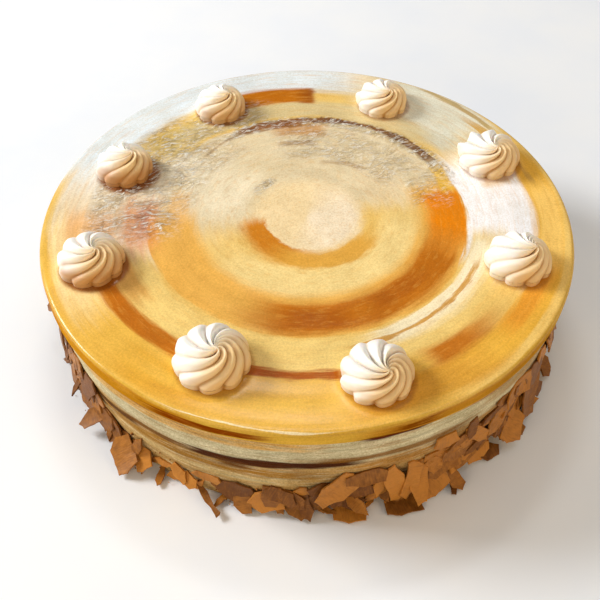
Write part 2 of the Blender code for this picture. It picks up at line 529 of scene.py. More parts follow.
@dataclass(frozen=True)
class Place:
    """A place on the cake as a finish reads it, and the noise that runs through it.

    Attributes:
        x: mm.
        y: mm.
        z: mm.
        angle: degrees round the cake.
        reach: mm over the top and down the rim, or up the wall.
        east: share along +X of the direction from the axis.
        north: share along +Y of that direction.
        long_streak: noise in long streaks round the cake.
        fine_streak: noise in fine streaks round the cake.
    """
    x: Value
    y: Value
    z: Value
    angle: Value
    reach: Value
    east: Value
    north: Value
    long_streak: Value
    fine_streak: Value

    @classmethod
    def on(cls, finish: Finish, side: Side) -> "Place":
        """Read the place on the finish's object.

        Args:
            finish: the finish.
            side: which reach it is drawn over.

        Returns:
            The place.
        """
        x, y, z = finish.place()
        radius = (x * x + y * y).to("SQRT").most(0.001)
        angle = y.to("ARCTAN2", x) * math.degrees(1)
        reach = radius + (HEIGHT / MM - z) if side is Side.OVER_THE_TOP else z
        east, north = x / radius, y / radius
        long_streak = LONG_STREAK.at(finish, reach, east, north)
        fine_streak = FINE_STREAK.at(finish, reach, east, north)
        return cls(x, y, z, angle, reach, east, north, long_streak, fine_streak)


@dataclass(frozen=True)
class Mottle:
    """Noise without a direction.

    Attributes:
        cloud: broad noise.
        speck: noise in specks.
    """
    cloud: Value
    speck: Value

    @classmethod
    def on(cls, finish: Finish, place: Place) -> "Mottle":
        """Read the noise at a place."""
        cloud = finish.noise(finish.vector(place.x, place.y, place.z), 0.07, 3.0, 0.55)
        speck = finish.noise(finish.vector(place.x, place.y, place.z), 1.1, 3.0, 0.8)
        return cls(cloud, speck)


@dataclass(frozen=True)
class Folds:
    """One layer of folds in dried gel.

    Attributes:
        long: mm along a fold.
        thin: mm across.
        drop: mm by which the layer is moved across.
        layer: which slice of the noise it reads.
        sharp: how thin its lines are.
    """
    long: float
    thin: float
    drop: float
    layer: float
    sharp: float

    def lines(self, finish: Finish, along: Value, across: Value) -> Value:
        """How strongly one of its lines shows at a place, 0 to 1.

        Args:
            finish: the finish.
            along: mm along the folds.
            across: mm across them.

        Returns:
            The strength.
        """
        place = finish.vector(along / self.long, (across + self.drop) / self.thin, self.layer)
        wave = finish.noise(place, 1.0, 3.0, 0.55, 0.3) * 2 - 1
        return (1 - wave.to("ABSOLUTE") * self.sharp).most(0.0)


@dataclass(frozen=True)
class Skin:
    """Skin of gel that dried in folds, with fine ripples, painted glints on its crests and a painted shadow
    line under each.

    Attributes:
        strokes: where it shows.
        east: share along +X of the folds' direction.
        north: share along +Y of that direction.
        bend: mm by which clouds bend the folds.
        crests: the folds, which carry the painted glints.
        shadows: the same folds moved down, for the painted shadow lines.
        ripples: the fine folds.
        patch: mm along and across of the patches in which the stain and the painted glints come and go.
        region: mm along and across of the regions where the skin is full or thin.
        thinning: noise values from thin to full.
        crest_gate: noise values between which the crests' painted glints appear.
        ripple_gate: noise values between which the ripples' painted glints appear.
        stain_gate: noise values between which the stain appears.
        ripple_share: how bright the ripples' painted glints are beside the crests'.
        stain: colour between the folds.
        shade: colour of the painted shadow lines under the folds.
        glint: colour of the painted glints on the crests.
        stain_share: how much of the stain shows.
        shade_share: how much of the shade shows.
        glint_share: how much of the glint shows.
        height: metres of relief.
    """
    strokes: tuple[Stroke, ...]
    east: float = 0.94
    north: float = 0.34
    bend: float = 9.0
    crests: Folds = Folds(6.2, 1.9, 0.0, 0.0, 8.0)
    shadows: Folds = Folds(6.2, 1.9, 0.42, 0.0, 8.0)
    ripples: Folds = Folds(3.0, 1.0, 0.0, 5.0, 6.5)
    patch: tuple[float, float] = (4.5, 1.8)
    region: tuple[float, float] = (13.0, 7.0)
    thinning: tuple[float, float] = (0.36, 0.60)
    crest_gate: tuple[float, float] = (0.44, 0.54)
    ripple_gate: tuple[float, float] = (0.50, 0.60)
    stain_gate: tuple[float, float] = (0.56, 0.40)
    ripple_share: float = 0.5
    stain: Colour = srgb(222, 200, 140)
    shade: Colour = srgb(160, 126, 78)
    glint: Colour = srgb(255, 253, 244)
    stain_share: float = 0.10
    shade_share: float = 0.5
    glint_share: float = 0.9
    height: float = 0.60 * MM

    def weight(self, reach: float, angle: float) -> float:
        """Share of the skin at a reach and an angle, from plain numbers."""
        return max(stroke.weight(reach, angle) for stroke in self.strokes)

    def mask(self, reach: Value, angle: Value) -> Value:
        """The same share as nodes."""
        mask = self.strokes[0].mask(reach, (angle,))
        for stroke in self.strokes[1:]:
            mask = mask.most(stroke.mask(reach, (angle,)))
        return mask

    def turned(self, x: Any, y: Any) -> tuple[Any, Any]:
        """A place along and across the folds, from numbers or values."""
        return x * self.east + y * self.north, y * self.east - x * self.north

    def lay(self, finish: Finish, place: Place, mottle: Mottle, colour: Any, gloss: float) -> Any:
        """Lay the skin over a finish: its colour with painted glints and shadow lines, its relief and
        roughness.

        Args:
            finish: the finish.
            place: the place on the cake.
            mottle: the noise at the place.
            colour: the colour under the skin.
            gloss: roughness where there is no skin.

        Returns:
            The colour's socket with the skin.
        """
        skin = self.mask(place.reach, place.angle)
        bend = (mottle.cloud - 0.5) * self.bend
        along, across = self.turned(place.x, place.y)
        across = across + bend
        patches = finish.vector(along / self.patch[0], across / self.patch[1], 9.0)
        gate = finish.noise(patches, 1.0, 1.0, 0.5)
        regions = finish.vector(along / self.region[0], across / self.region[1], 21.0)
        full = finish.noise(regions, 1.0, 1.0, 0.5).step(*self.thinning)
        skin = skin * (full * 0.5 + 0.5)
        layers = (self.crests, self.shadows, self.ripples)
        crests, shadows, ripples = (layer.lines(finish, along, across) for layer in layers)
        relief = crests * 0.6 + ripples * 0.4
        colour = finish.mix(gate.step(*self.stain_gate) * skin * self.stain_share, colour,
                            finish.mix(1.0, colour, self.stain, "MULTIPLY"))
        # Painted shadow lines just under the folds
        colour = finish.mix(shadows * (1 - crests) * skin * self.shade_share, colour,
                            finish.mix(1.0, colour, self.shade, "MULTIPLY"))
        # Painted glints on the crests and ripples
        shine = crests * gate.step(*self.crest_gate)
        shine = shine + ripples * gate.step(*self.ripple_gate) * self.ripple_share
        colour = finish.mix(shine * skin * self.glint_share, colour, self.glint)
        finish.bump(relief * skin + mottle.speck * 0.05 + place.fine_streak * 0.04, self.height, 1.0)
        finish.feed("Roughness", (place.fine_streak - 0.5) * 0.10 + (skin * 0.02 + gloss))
        return colour


@dataclass(frozen=True)
class Marbling:
    """Smears over a ground, in the order they were laid on.

    Attributes:
        name: the material's name.
        side: which reach the smears are drawn over.
        ground: colour where there is no smear.
        smears: the smears, first laid on first.
        wander: how far the edges wander, mm.
        fray: how far soft ends wander, degrees.
        streak: share by which streaks darken and lighten.
        gloss: roughness of the shader.
        specular: specular level of the shader.
        veins: fine streaks over the smears.
        overlaid: smears over the veins.
        skin: dried skin over it all, if any.
        frays: share of the fray that a crisp and a firm end takes; a soft one takes all.
        fine_tone: tone of the fine streaks beside that of the long ones.
        cloud_tone: tone of the clouds beside it.
        speck_tone: tone of the specks beside it.
        deepen: powers by which the tone works on green and on blue.
    """
    name: str
    side: Side
    ground: Colour
    smears: tuple[Smear, ...]
    wander: float
    fray: float
    streak: float
    gloss: float
    specular: float
    veins: tuple[Vein, ...] = ()
    overlaid: tuple[Smear, ...] = ()
    skin: Skin | None = None
    frays: tuple[float, ...] = (0.15, 0.5)
    fine_tone: float = 0.8
    cloud_tone: float = 2.0
    speck_tone: float = 4.2
    deepen: tuple[float, float] = (1.15, 1.5)

    def painted(self, finish: Finish, place: Place, gel_and_shadow_pools: tuple[Pool, ...]) -> Any:
        """The colour of the ground, smears and veins, and of the gel and painted shadow at the rosettes'
        feet.

        Args:
            finish: the finish.
            place: the place on the cake.
            gel_and_shadow_pools: stains of gel and painted shadow over the smears.

        Returns:
            The colour's socket.
        """
        wander = (place.long_streak - 0.5) * (2.2 * self.wander)
        wander = wander + (place.fine_streak - 0.5) * (0.9 * self.wander)
        bent = place.reach + wander
        hair = HAIR_STREAK.at(finish, place.reach, place.east, place.north)
        fray = (hair - 0.5) * self.fray + (place.long_streak - 0.5) * (0.6 * self.fray)
        angles = (*(place.angle + fray * share for share in self.frays), place.angle + fray)
        colour: Any = self.ground
        for one in self.smears:
            colour = finish.mix(one.stroke.mask(bent, angles), colour, one.colour)
        for vein in self.veins:
            colour = finish.mix(vein.mask(finish, bent, place.east, place.north), colour, vein.colour)
        for one in self.overlaid:
            colour = finish.mix(one.stroke.mask(bent, angles), colour, one.colour)
        flat = finish.vector(place.x + wander * 0.3, place.y, 0.0)
        # Gel and painted shadow round the rosettes' feet
        for pool in gel_and_shadow_pools:
            colour = finish.mix(pool.mask(finish, flat), colour, pool.colour)
        return colour

    def toned(self, finish: Finish, place: Place, mottle: Mottle, colour: Any) -> Any:
        """The colour darkened and lightened by streaks, clouds and specks."""
        tone = (place.long_streak - 0.5) * self.streak
        tone = tone + (place.fine_streak - 0.5) * (self.fine_tone * self.streak)
        tone = tone + (mottle.cloud - 0.5) * (self.cloud_tone * self.streak)
        tone = tone + (mottle.speck - 0.5) * (self.speck_tone * self.streak)
        light = (tone + 1.0).most(0.0)
        green, blue = (light ** power for power in self.deepen)
        shade = finish.node("ShaderNodeCombineColor", None, {0: light, 1: green, 2: blue})
        return finish.mix(1.0, colour, shade.outputs[0], "MULTIPLY")

    def material(self, gel_and_shadow_pools: tuple[Pool, ...] = ()) -> bpy.types.Material:
        """Build the finish.

        Args:
            gel_and_shadow_pools: stains of gel and painted shadow over the smears.

        Returns:
            The material.
        """
        finish = Finish.new(self.name, Specular_IOR_Level=self.specular)
        place = Place.on(finish, self.side)
        colour = self.painted(finish, place, gel_and_shadow_pools)
        mottle = Mottle.on(finish, place)
        colour = self.toned(finish, place, mottle, colour)
        if self.skin:
            colour = self.skin.lay(finish, place, mottle, colour, self.gloss)
        else:
            drag = DRAG_STREAK.at(finish, place.reach, place.east, place.north)
            finish.bump(drag * 0.7 + mottle.speck * 0.3, 0.8 * MM, 0.7)
            finish.feed("Roughness", (place.fine_streak - 0.5) * 0.3 + self.gloss)
        finish.feed("Base Color", colour)
        if self.side is Side.OVER_THE_TOP:
            finish.dull(place.z.step(HEIGHT / MM - RIM_SHINES, HEIGHT / MM - RIM_DULL), 0.0)
        return finish.material


# Where the gel dried in folds: left and back left, the dark line, behind the disc, the orange ring's end
SKIN = Skin(strokes=(
    Stroke(124, 198, 86, 84, 34, 10, 8, 16, 14, 1.0),
    Stroke(100, 150, 88, 90, 14, 6, 6, 12, 12, 0.8),
    Stroke(15, 140, 77, 75, 6, 3, 3, 8, 20, 1.0),
    Stroke(20, 114, 57, 57, 18, 8, 8, 20, 24, 0.65),
    Stroke(114, 184, 64, 62, 8, 7, 7, 16, 16, 0.6),
    Stroke(116, 150, 32, 30, 3, 2, 2, 8, 8, 0.9),
    Stroke(4, 34, 62, 66, 14, 6, 5, 8, 8, 0.6),
))

TOP_MARBLING = Marbling(
    name="marbled_glaze",
    side=Side.OVER_THE_TOP,
    ground=srgb(236, 198, 112),
    wander=2.4,
    fray=12.0,
    streak=0.16,
    gloss=0.20,
    specular=0.26,
    skin=SKIN,
    veins=(
        Vein(srgb(206, 142, 48), 1.3, 16.0, 0.16),
        Vein(srgb(236, 182, 84), 1.0, 13.0, 0.18),
    ),
    smears=(
        # Back half, pale under the gel
        smear(226, 211, 176, -2, 215, 50, 50, 54, 12, 3, 34, 40, 0.95),
        smear(238, 226, 196, 118, 196, 46, 48, 22, 10, 10, 30, 30, 0.8),
        smear(236, 216, 176, 0, 60, 44, 44, 12, 8, 8, 20, 20, 0.7),
        smear(234, 220, 194, 140, 212, 98, 98, 44, 10, 4, 24, 22, 0.9),
        smear(246, 236, 210, 136, 164, 74, 76, 14, 8, 8, 10, 10, 0.85),
        # White fields of cream
        smear(252, 252, 254, -29, 40, 93, 94, 30, 3, 5, 12, 20, 1.0),
        smear(228, 226, 206, 28, 80, 104, 108, 34, 6, 4, 14, 20, 1.0),
        smear(229, 237, 240, 66, 176, 118, 118, 18, 9, 4, 20, 20, 1.0),
        smear(230, 200, 116, 104, 156, 90, 90, 14, 6, 8, 12, 14, 0.8),
        # Back: yellow band, brown patch with its hook
        smear(212, 194, 146, 36, 152, 86, 87, 9, 3, 7, 16, 22, 0.9),
        smear(186, 106, 4, 87, 124, 100, 101, 9, 4, 5, 3, 14, 1.0),
        smear(150, 76, 2, 86.5, 95, 99, 99, 10, 3, 4, 2.5, 6, 0.9),
        # The dark line and what lies along it
        smear(196, 140, 76, 78, 108, 69, 70, 5, 5, 4, 8, 8, 0.8),
        smear(112, 64, 28, 28, 64, 76, 79.5, 2.2, 3.5, 1.0, 10, 3, 0.9),
        smear(116, 60, 24, 58, 96, 79.5, 76.5, 2.6, 2.2, 1.2, 4, 4, 0.9),
        smear(138, 74, 22, 90, 122, 76, 75, 3.6, 3.5, 1.5, 4, 6, 0.9),
        smear(176, 146, 108, 116, 142, 74, 70, 0.8, 1.2, 0.8, 6, 6, 0.7),
        smear(158, 124, 90, 82, 108, 58, 58, 2.6, 2, 2, 7, 7, 0.6),
        smear(178, 150, 112, 48, 84, 47, 41, 1.4, 2, 2, 10, 8, 0.6),
        # Middle: pale ring, disc and crescent
        smear(243, 217, 148, -170, 20, 46, 46, 12, 8, 8, 50, 34, 0.95),
        smear(240, 217, 170, 0, 360, 0, 0, 44, 1, 9, 0, 0, 1.0),
        smear(247, 233, 208, -130, 100, 12, 13, 16, 10, 9, 90, 90, 0.8),
        smear(206, 128, 28, -182, -72, 23.4, 28, 6.5, 1.6, 8, 20, 42, 1.0),
        smear(222, 165, 64, -135, -12, 28.5, 34, 7, 4, 3, 34, 26, 0.9),
        # The broad caramel ring
        smear(231, 176, 82, -190, 26, 66, 67, 19, 8, 1.6, 20, 8, 0.95),
        smear(186, 104, 6, -122, 0, 67, 66, 11, 6, 5, 26, 26, 0.95),
        smear(164, 84, 4, -102, -70, 67.0, 66.5, 6, 4, 4, 9, 10, 0.7),
        smear(164, 84, 10, -66, -32, 64.5, 64, 5, 4, 4, 9, 12, 0.6),
        smear(232, 134, 4, -26, 19, 69, 69, 14, 6, 1.2, 22, 6, 1.0),
        smear(238, 192, 72, 12, 34, 72, 75, 5, 2, 2, 5, 8, 0.8),
        # Pale round it, with its thin line
        smear(241, 209, 128, -165, -2, 86, 86, 12, 3, 7, 14, 10, 0.9),
        smear(252, 238, 200, -77, -8, 81.3, 83, 4.8, 1.6, 7.5, 14, 6, 1.0),
        smear(206, 150, 62, -80, -18, 84, 84, 0.9, 0.8, 0.8, 8, 8, 0.9),
        # The golden outer field
        smear(232, 182, 72, -178, -52, 113, 113, 22, 7, 3, 12, 14, 0.9),
        smear(222, 164, 48, -136, -108, 116, 116, 12, 5, 3, 10, 8, 0.8),
        smear(250, 224, 164, -186, -138, 112, 112, 14, 5, 5, 14, 18, 0.9),
        smear(234, 188, 78, -136, -76, 114.5, 114, 4, 4, 3, 20, 12, 0.8),
        smear(219, 153, 40, -84, -56, 113, 112, 9, 5, 6, 8, 8, 0.8),
        # Brown bands
        smear(206, 146, 66, -162, -138, 91, 91, 6, 4, 4, 6, 8, 0.7),
        smear(190, 108, 20, -160, -120, 101, 99.5, 5, 3, 3.4, 7, 3, 1.0),
        smear(172, 84, 0, -110, -80, 97.8, 97.3, 3.4, 1.8, 1.8, 3, 3, 1.0),
        smear(188, 106, 12, -63, -32, 101.5, 104.5, 5.4, 4, 6, 7, 18, 0.95),
        smear(212, 148, 34, -66, -40, 113.5, 114.5, 10, 4, 6, 10, 10, 0.8),
        # The orange band at the right, and its tail
        smear(234, 180, 66, -60, 30, 113, 118, 10, 4.5, 3, 18, 12, 1.0),
        smear(230, 154, 48, -44, -10, 110.5, 114.5, 5, 3, 5, 9, 6, 0.85),
        smear(250, 206, 112, -22, 16, 116, 118, 8, 4, 3, 10, 10, 0.95),
        smear(206, 160, 76, 10, 47, 115.5, 115, 2, 1.6, 1.4, 5, 10, 0.9),
        smear(176, 146, 78, 32, 63, 119, 124.6, 1.2, 1.0, 1.0, 5, 6, 0.8),
        # Tan patch just in front of the foot of rosette 5
        smear(214, 176, 108, 12, 20, 98, 98, 10, 4, 4, 3, 3, 0.6),
        # Reddish gel at the left
        smear(226, 150, 78, 174, 198, 103, 103, 18, 7, 7, 10, 12, 0.55),
        smear(228, 136, 76, 166, 204, 80, 80, 9, 8, 8, 14, 14, 0.65),
        smear(168, 108, 104, 172, 192, 78, 79, 3, 3, 3, 8, 8, 0.5),
        smear(236, 180, 98, 160, 192, 63, 63, 6, 4, 4, 10, 8, 0.6),
        # Where the gel runs over the rim
        smear(210, 166, 56, -180, 180, 131, 131, 9, 2, 2, 0, 0, 0.9),
        smear(184, 122, 14, -165, -108, 131, 131.5, 6, 2, 3, 10, 8, 0.9),
        smear(128, 56, 0, -124, -94, 132.0, 130.6, 2.2, 1.2, 1.2, 8, 6, 1.0),
        smear(176, 120, 30, -84, -26, 130, 130, 4, 1.6, 1.6, 8, 14, 0.9),
        smear(118, 58, 0, -77, -62, 129.8, 129.8, 2.4, 1.2, 1.2, 6, 6, 0.95),
        smear(90, 34, 0, -82, -64, 133.8, 133.8, 1.8, 1.2, 1.2, 4, 4, 1.0),
        smear(226, 216, 188, 62, 176, 130.5, 131.5, 8, 2, 3, 26, 26, 0.85),
        smear(186, 128, 52, 20, 96, 133, 130, 1.6, 1.4, 1.4, 14, 18, 0.8),
        smear(190, 134, 60, 112, 168, 130, 133, 1.4, 1.4, 1.4, 16, 14, 0.7),
        # Painted highlight along the edge of the front rim
        smear(255, 248, 214, -122, -78, 125.9, 125.9, 0.5, 0.5, 0.5, 12, 12, 0.7),
    ),
)

SIDE_MARBLING = Marbling(
    name="marbled_sides",
    side=Side.UP_THE_WALL,
    overlaid=(
        # The dark line, broken here and there
        smear(88, 50, 8, -152, -124, 26, 33, 2.0, 1.6, 1.6, 8, 5, 0.95),
        smear(110, 66, 12, -132, -112, 33.6, 35, 1.8, 1.6, 1.6, 5, 5, 0.9),
        smear(72, 32, 0, -116, -77, 35.6, 38.8, 3.4, 1.8, 1.8, 5, 6, 1.0),
        smear(96, 52, 6, -109, -99, 33, 33, 4, 2, 2, 3, 4, 0.8),
        smear(130, 84, 20, -92, -48, 41, 40, 2.2, 1.8, 2.4, 8, 14, 0.85),
        smear(96, 52, 10, 4, 66, 37, 33, 2.2, 2, 2, 12, 14, 0.9),
        smear(88, 48, 6, 84, 168, 34, 38, 2.0, 2, 2, 14, 18, 0.9),
        smear(110, 66, 16, -44, 0, 39, 37, 1.8, 2, 2, 12, 10, 0.8),
        # Amber under the lip of the glaze, darkest just under it: the wall's own amber with painted shade
        # under the lip
        smear(140, 70, 0, -164, -112, 53, 56.4, 4.6, 1.8, 1.8, 14, 10, 1.0),
        smear(164, 94, 4, -120, -84, 56, 58.6, 2.6, 1.6, 1.6, 10, 12, 0.8),
        smear(80, 20, 0, -81, -65, 57.4, 57.4, 4.4, 2, 1.4, 4, 4, 1.0),
        smear(160, 96, 18, -66, -30, 57, 56, 2.4, 2, 2, 8, 10, 0.7),
        smear(170, 106, 30, 10, 120, 57, 55, 3, 2, 2, 16, 16, 0.8),
    ),
    veins=(
        Vein(srgb(158, 150, 118), 2.2, 26.0, 0.55),
        Vein(srgb(166, 112, 46), 1.5, 20.0, 0.45),
        Vein(srgb(226, 214, 178), 1.2, 16.0, 0.40),
    ),
    ground=srgb(203, 192, 154),
    wander=1.5,
    fray=20.0,
    streak=0.34,
    gloss=0.55,
    specular=0.04,
    smears=(
        # Tan low on the wall, pale between the bands
        smear(180, 138, 70, 0, 360, 16, 16, 36, 3, 4, 0, 0, 0.85),
        smear(158, 112, 38, -164, -84, 28, 29, 5, 3, 3, 10, 6, 0.9),
        smear(200, 176, 122, -136, -88, 20, 22, 4, 2, 2, 12, 12, 0.7),
        smear(172, 122, 56, -84, -20, 33, 34, 6, 3, 3, 8, 10, 0.8),
        smear(208, 160, 80, -146, -84, 48.4, 53.4, 5, 2, 2, 10, 10, 0.9),
        smear(206, 178, 118, 20, 160, 51, 53, 4, 3, 3, 18, 18, 0.7),
        smear(172, 130, 70, -58, -16, 51, 49, 9, 4, 4, 14, 12, 0.75),
    ),
)


# --------------------------------------------------------------------------------------------------
# Turned pieces
# --------------------------------------------------------------------------------------------------


def add_piece(name: str, mesh: bpy.types.Mesh,
              material: bpy.types.Material | None = None) -> bpy.types.Object:
    """Put a mesh in the scene as an object at the origin.

    Args:
        name: the piece's name.
        mesh: its mesh, in place.
        material: its finish, or None if the mesh has one.

    Returns:
        The object.
    """
    mesh.name = name
    piece = bpy.data.objects.new(name, mesh)
    bpy.context.scene.collection.objects.link(piece)
    if material:
        mesh.materials.clear()
        mesh.materials.append(material)
    return piece


def hand_over(piece: bpy.types.Object, slot: Slot | None, *nodes: str) -> None:
    """Let a piece ride on the cake and stand for its nodes.

    Args:
        piece: the finished piece.
        slot: the material slot it takes its finish from, if any; not used.
        *nodes: the nodes it stands for.
    """
    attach(piece, BODY)
    if nodes:
        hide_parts(*nodes)
    faces = len(piece.data.polygons)
    LOG.info("%s: %d faces, stands for %s", piece.name, faces, ", ".join(nodes) or "nothing")


def wall_radius(height: float) -> float:
    """The wall's radius below the glaze, in metres."""
    share = min(max(height / HEIGHT, 0.0), 1.0)
    return FOOT_RADIUS + (TOP_RADIUS - GLAZE_LIP - FOOT_RADIUS) * share


def arc(centre: tuple[float, float], radius: float, start: float, end: float,
        steps: int) -> list[tuple[float, float]]:
    """Points on an arc in the profile's plane.

    Args:
        centre: (radius, height) of its centre.
        radius: metres.
        start: degrees.
        end: degrees.
        steps: number of steps.

    Returns:
        (radius, height) of each point.
    """
    angles = [math.radians(start + (end - start) * k / steps) for k in range(steps + 1)]
    return [(centre[0] + radius * math.cos(a), centre[1] + radius * math.sin(a)) for a in angles]


def between(first: tuple[float, float], last: tuple[float, float], steps: int) -> list[tuple[float, float]]:
    """Evenly spaced points after first, up to last."""
    return [
        tuple(a + (b - a) * k / steps for a, b in zip(first, last))
        for k in range(1, steps + 1)
    ]


@dataclass
class Turned:
    """A closed piece turned from a profile, with relief.

    Attributes:
        name: the piece's name.
        steps: steps round the axis.
    """
    name: str
    steps: int

    def profile(self) -> list[tuple[float, float]]:
        """(radius, height) of each row between the two poles."""
        raise NotImplementedError

    def relief(self, point: Vector, row: int) -> Vector:
        """How far a point of a row is moved."""
        raise NotImplementedError

    def mesh(self) -> bpy.types.Mesh:
        """Turn the profile into a closed mesh.

        Returns:
            The mesh, with its faces pointing out.
        """
        rows = self.profile()
        top, low = rows[0][1], rows[-1][1]
        points = [Vector((0.0, 0.0, top))]
        for row, (radius, height) in enumerate(rows[1:-1], 1):
            for k in range(self.steps):
                turn = math.tau * k / self.steps
                point = Vector((radius * math.cos(turn), radius * math.sin(turn), height))
                points.append(point + self.relief(point, row))
        points[0] += self.relief(points[0], 0)
        points.append(Vector((0.0, 0.0, low)))
        mesh = bpy.data.meshes.new(self.name)
        mesh.from_pydata([tuple(point) for point in points], [], self.faces(len(rows) - 2))
        mesh.shade_smooth()
        return mesh

    def faces(self, rings: int) -> list[tuple[int, ...]]:
        """Faces between the rings, with a fan at each pole.

        Args:
            rings: number of rings.

        Returns:
            Each face's vertices.
        """
        n = self.steps
        last = rings * n + 1
        faces: list[tuple[int, ...]] = [(0, 1 + k, 1 + (k + 1) % n) for k in range(n)]
        for ring in range(rings - 1):
            upper, lower = 1 + ring * n, 1 + (ring + 1) * n
            faces += [(upper + k, lower + k, lower + (k + 1) % n, upper + (k + 1) % n) for k in range(n)]
        base = last - n
        faces += [(last, base + (k + 1) % n, base + k) for k in range(n)]
        return faces


@dataclass
class GlazeCoat(Turned):
    """The coat of gel: over the top, round the rim and a little way down the side.

    Attributes:
        rim_round: radius of the rim, metres.
        lip_round: radius of the lip, metres.
        thickness: metres over the cake.
        clearance: metres between its underside and the wall.
        top_rows: rows over the flat top.
        fold_height: height of the dried folds, metres.
        swell_height: height of the swells, metres.
        cuff_height: height of the cuffs round the rosettes, metres.
        rosettes: the rosettes that stand in it.
        outside_rows: rows before its underside, set by the profile.
    """
    name: str = "glaze_coat"
    steps: int = 600
    rim_round: float = 2.2 * MM
    lip_round: float = 0.45 * MM
    thickness: float = 2.5 * MM
    clearance: float = 0.05 * MM
    top_rows: int = 112
    fold_height: float = 0.42 * MM
    swell_height: float = 0.35 * MM
    cuff_height: float = 0.5 * MM
    rosettes: tuple["Rosette", ...] = ()
    outside_rows: int = field(default=0, init=False)

    def profile(self) -> list[tuple[float, float]]:
        """The outline over the top, down to the lip, and back along its underside."""
        lip_end = HEIGHT - GLAZE_DEPTH
        lip_out = TOP_RADIUS - 0.2 * MM
        inner = wall_radius(lip_end) + self.clearance
        start = TOP_RADIUS - self.rim_round
        rows = [(0.0, HEIGHT)]
        rows += between((0.0, HEIGHT), (start, HEIGHT), self.top_rows)
        rows += arc((start, HEIGHT - self.rim_round), self.rim_round, 90, 0, 8)[1:]
        rows += between(rows[-1], (lip_out, lip_end + 2 * self.lip_round), 8)
        rows += arc((lip_out - self.lip_round, lip_end + self.lip_round), self.lip_round, 0, -90, 4)
        self.outside_rows = len(rows)
        under = HEIGHT - self.thickness
        rows += between(rows[-1], (inner, lip_end), 1)
        rows += between(rows[-1], (wall_radius(under) + self.clearance, under), 3)
        rows += between(rows[-1], (0.0, under), 6)
        return rows

    def relief(self, point: Vector, row: int) -> Vector:
        """Sway of the lip, folds where the gel dried, slow swells, and a cuff round each rosette."""
        moved = Vector()
        below_rim = HEIGHT - self.rim_round - point.z
        flat = math.hypot(point.x, point.y)
        if flat > FOOT_RADIUS and MM < below_rim:
            share = min(below_rim / (GLAZE_DEPTH - self.rim_round), 1.0)
            moved.z -= share * GLAZE_SWAY * math.cos(math.atan2(point.y, point.x) - GLAZE_SWAY_AT)
        if row >= self.outside_rows:
            return moved
        on_top = smoothstep(flat, TOP_RADIUS, TOP_RADIUS - 6 * MM)
        moved.z += on_top * (self.folds(point) + self.swells(point) + self.cuffs(point))
        return moved

    def folds(self, point: Vector) -> float:
        """Height of the dried folds at a point."""
        reach, angle = math.hypot(point.x, point.y) / MM, math.degrees(math.atan2(point.y, point.x))
        weight = SKIN.weight(reach, angle)
        if weight < 0.01:
            return 0.0
        along, across = SKIN.turned(point.x, point.y)
        height = noise.noise(Vector((along / (7.0 * MM), across / (2.8 * MM), 3.0)))
        return weight * self.fold_height * (0.4 - 2.2 * abs(height))

    def swells(self, point: Vector) -> float:
        """Height of the slow swells that the spatula left at a point."""
        reach, turn = math.hypot(point.x, point.y) / MM, math.atan2(point.y, point.x)
        slow = noise.noise(Vector((reach / 9.0, 2.4 * math.cos(turn), 2.4 * math.sin(turn))))
        return self.swell_height * slow * min(reach / 20, 1.0)

    def cuffs(self, point: Vector) -> float:
        """Height of the gel that creeps up round the rosettes at a point."""
        height = 0.0
        for rosette in self.rosettes:
            gap = (point.xy - rosette.centre.xy).length - rosette.radius * MM
            if gap < 4 * MM:
                height = max(height, self.cuff_height * math.exp(-max(gap, 0.0) / (1.1 * MM)))
        return height

    def dress(self, material: bpy.types.Material) -> None:
        """Make the coat and hand it over."""
        hand_over(add_piece(self.name, self.mesh(), material), Slot.GLAZE, "cake")


@dataclass
class CakeBody(Turned):
    """The cake under its glaze, with cream dragged round its wall.

    Attributes:
        foot_round: radius of the edge at the foot, metres.
        coat: metres from the glaze's top to its own.
        wall_rows: rows down the wall.
        drag_depth: depth of the grooves, metres.
    """
    name: str = "cake_body"
    steps: int = 512
    foot_round: float = 1.2 * MM
    coat: float = 2.6 * MM
    wall_rows: int = 78
    drag_depth: float = 0.42 * MM

    def profile(self) -> list[tuple[float, float]]:
        """The outline from under the glaze's top down the wall to the middle of the underside."""
        head = HEIGHT - self.coat
        foot = arc((FOOT_RADIUS - self.foot_round, self.foot_round), self.foot_round, 0, -90, 4)
        rows = [(0.0, head)]
        rows += between(rows[-1], (wall_radius(head) - 0.5 * MM, head), 5)
        rows += between(rows[-1], (wall_radius(head), head - 0.5 * MM), 1)
        rows += between(rows[-1], foot[0], self.wall_rows)
        rows += foot[1:]
        rows += between(rows[-1], (0.0, 0.0), 6)
        return rows

    def relief(self, point: Vector, row: int) -> Vector:
        """Grooves that the spatula dragged round the wall."""
        flat = math.hypot(point.x, point.y)
        open_wall = smoothstep(point.z, 0.0, 4 * MM)
        open_wall *= smoothstep(point.z, HEIGHT - 4 * MM, HEIGHT - GLAZE_DEPTH)
        if flat < FOOT_RADIUS - 0.5 * MM or open_wall == 0.0:
            return Vector()
        turn = math.atan2(point.y, point.x)
        east, north = math.cos(turn), math.sin(turn)
        tall = point.z / MM
        broad = noise.noise(Vector((tall / 5.0, 4.0 * east, 4.0 * north)))
        fine = noise.fractal(Vector((tall / 1.7, 9.0 * east, 9.0 * north + 7)), 0.9, 2.0, 3)
        depth = self.drag_depth * open_wall * (0.5 - 0.8 * broad + 0.55 * fine)
        return Vector((east, north, 0.0)) * -max(depth, -0.15 * MM)

    def dress(self, material: bpy.types.Material) -> None:
        """Make the body and hand it over."""
        hand_over(add_piece(self.name, self.mesh(), material), Slot.GLAZE, "cake")


# --------------------------------------------------------------------------------------------------
# Geometry Nodes
# --------------------------------------------------------------------------------------------------


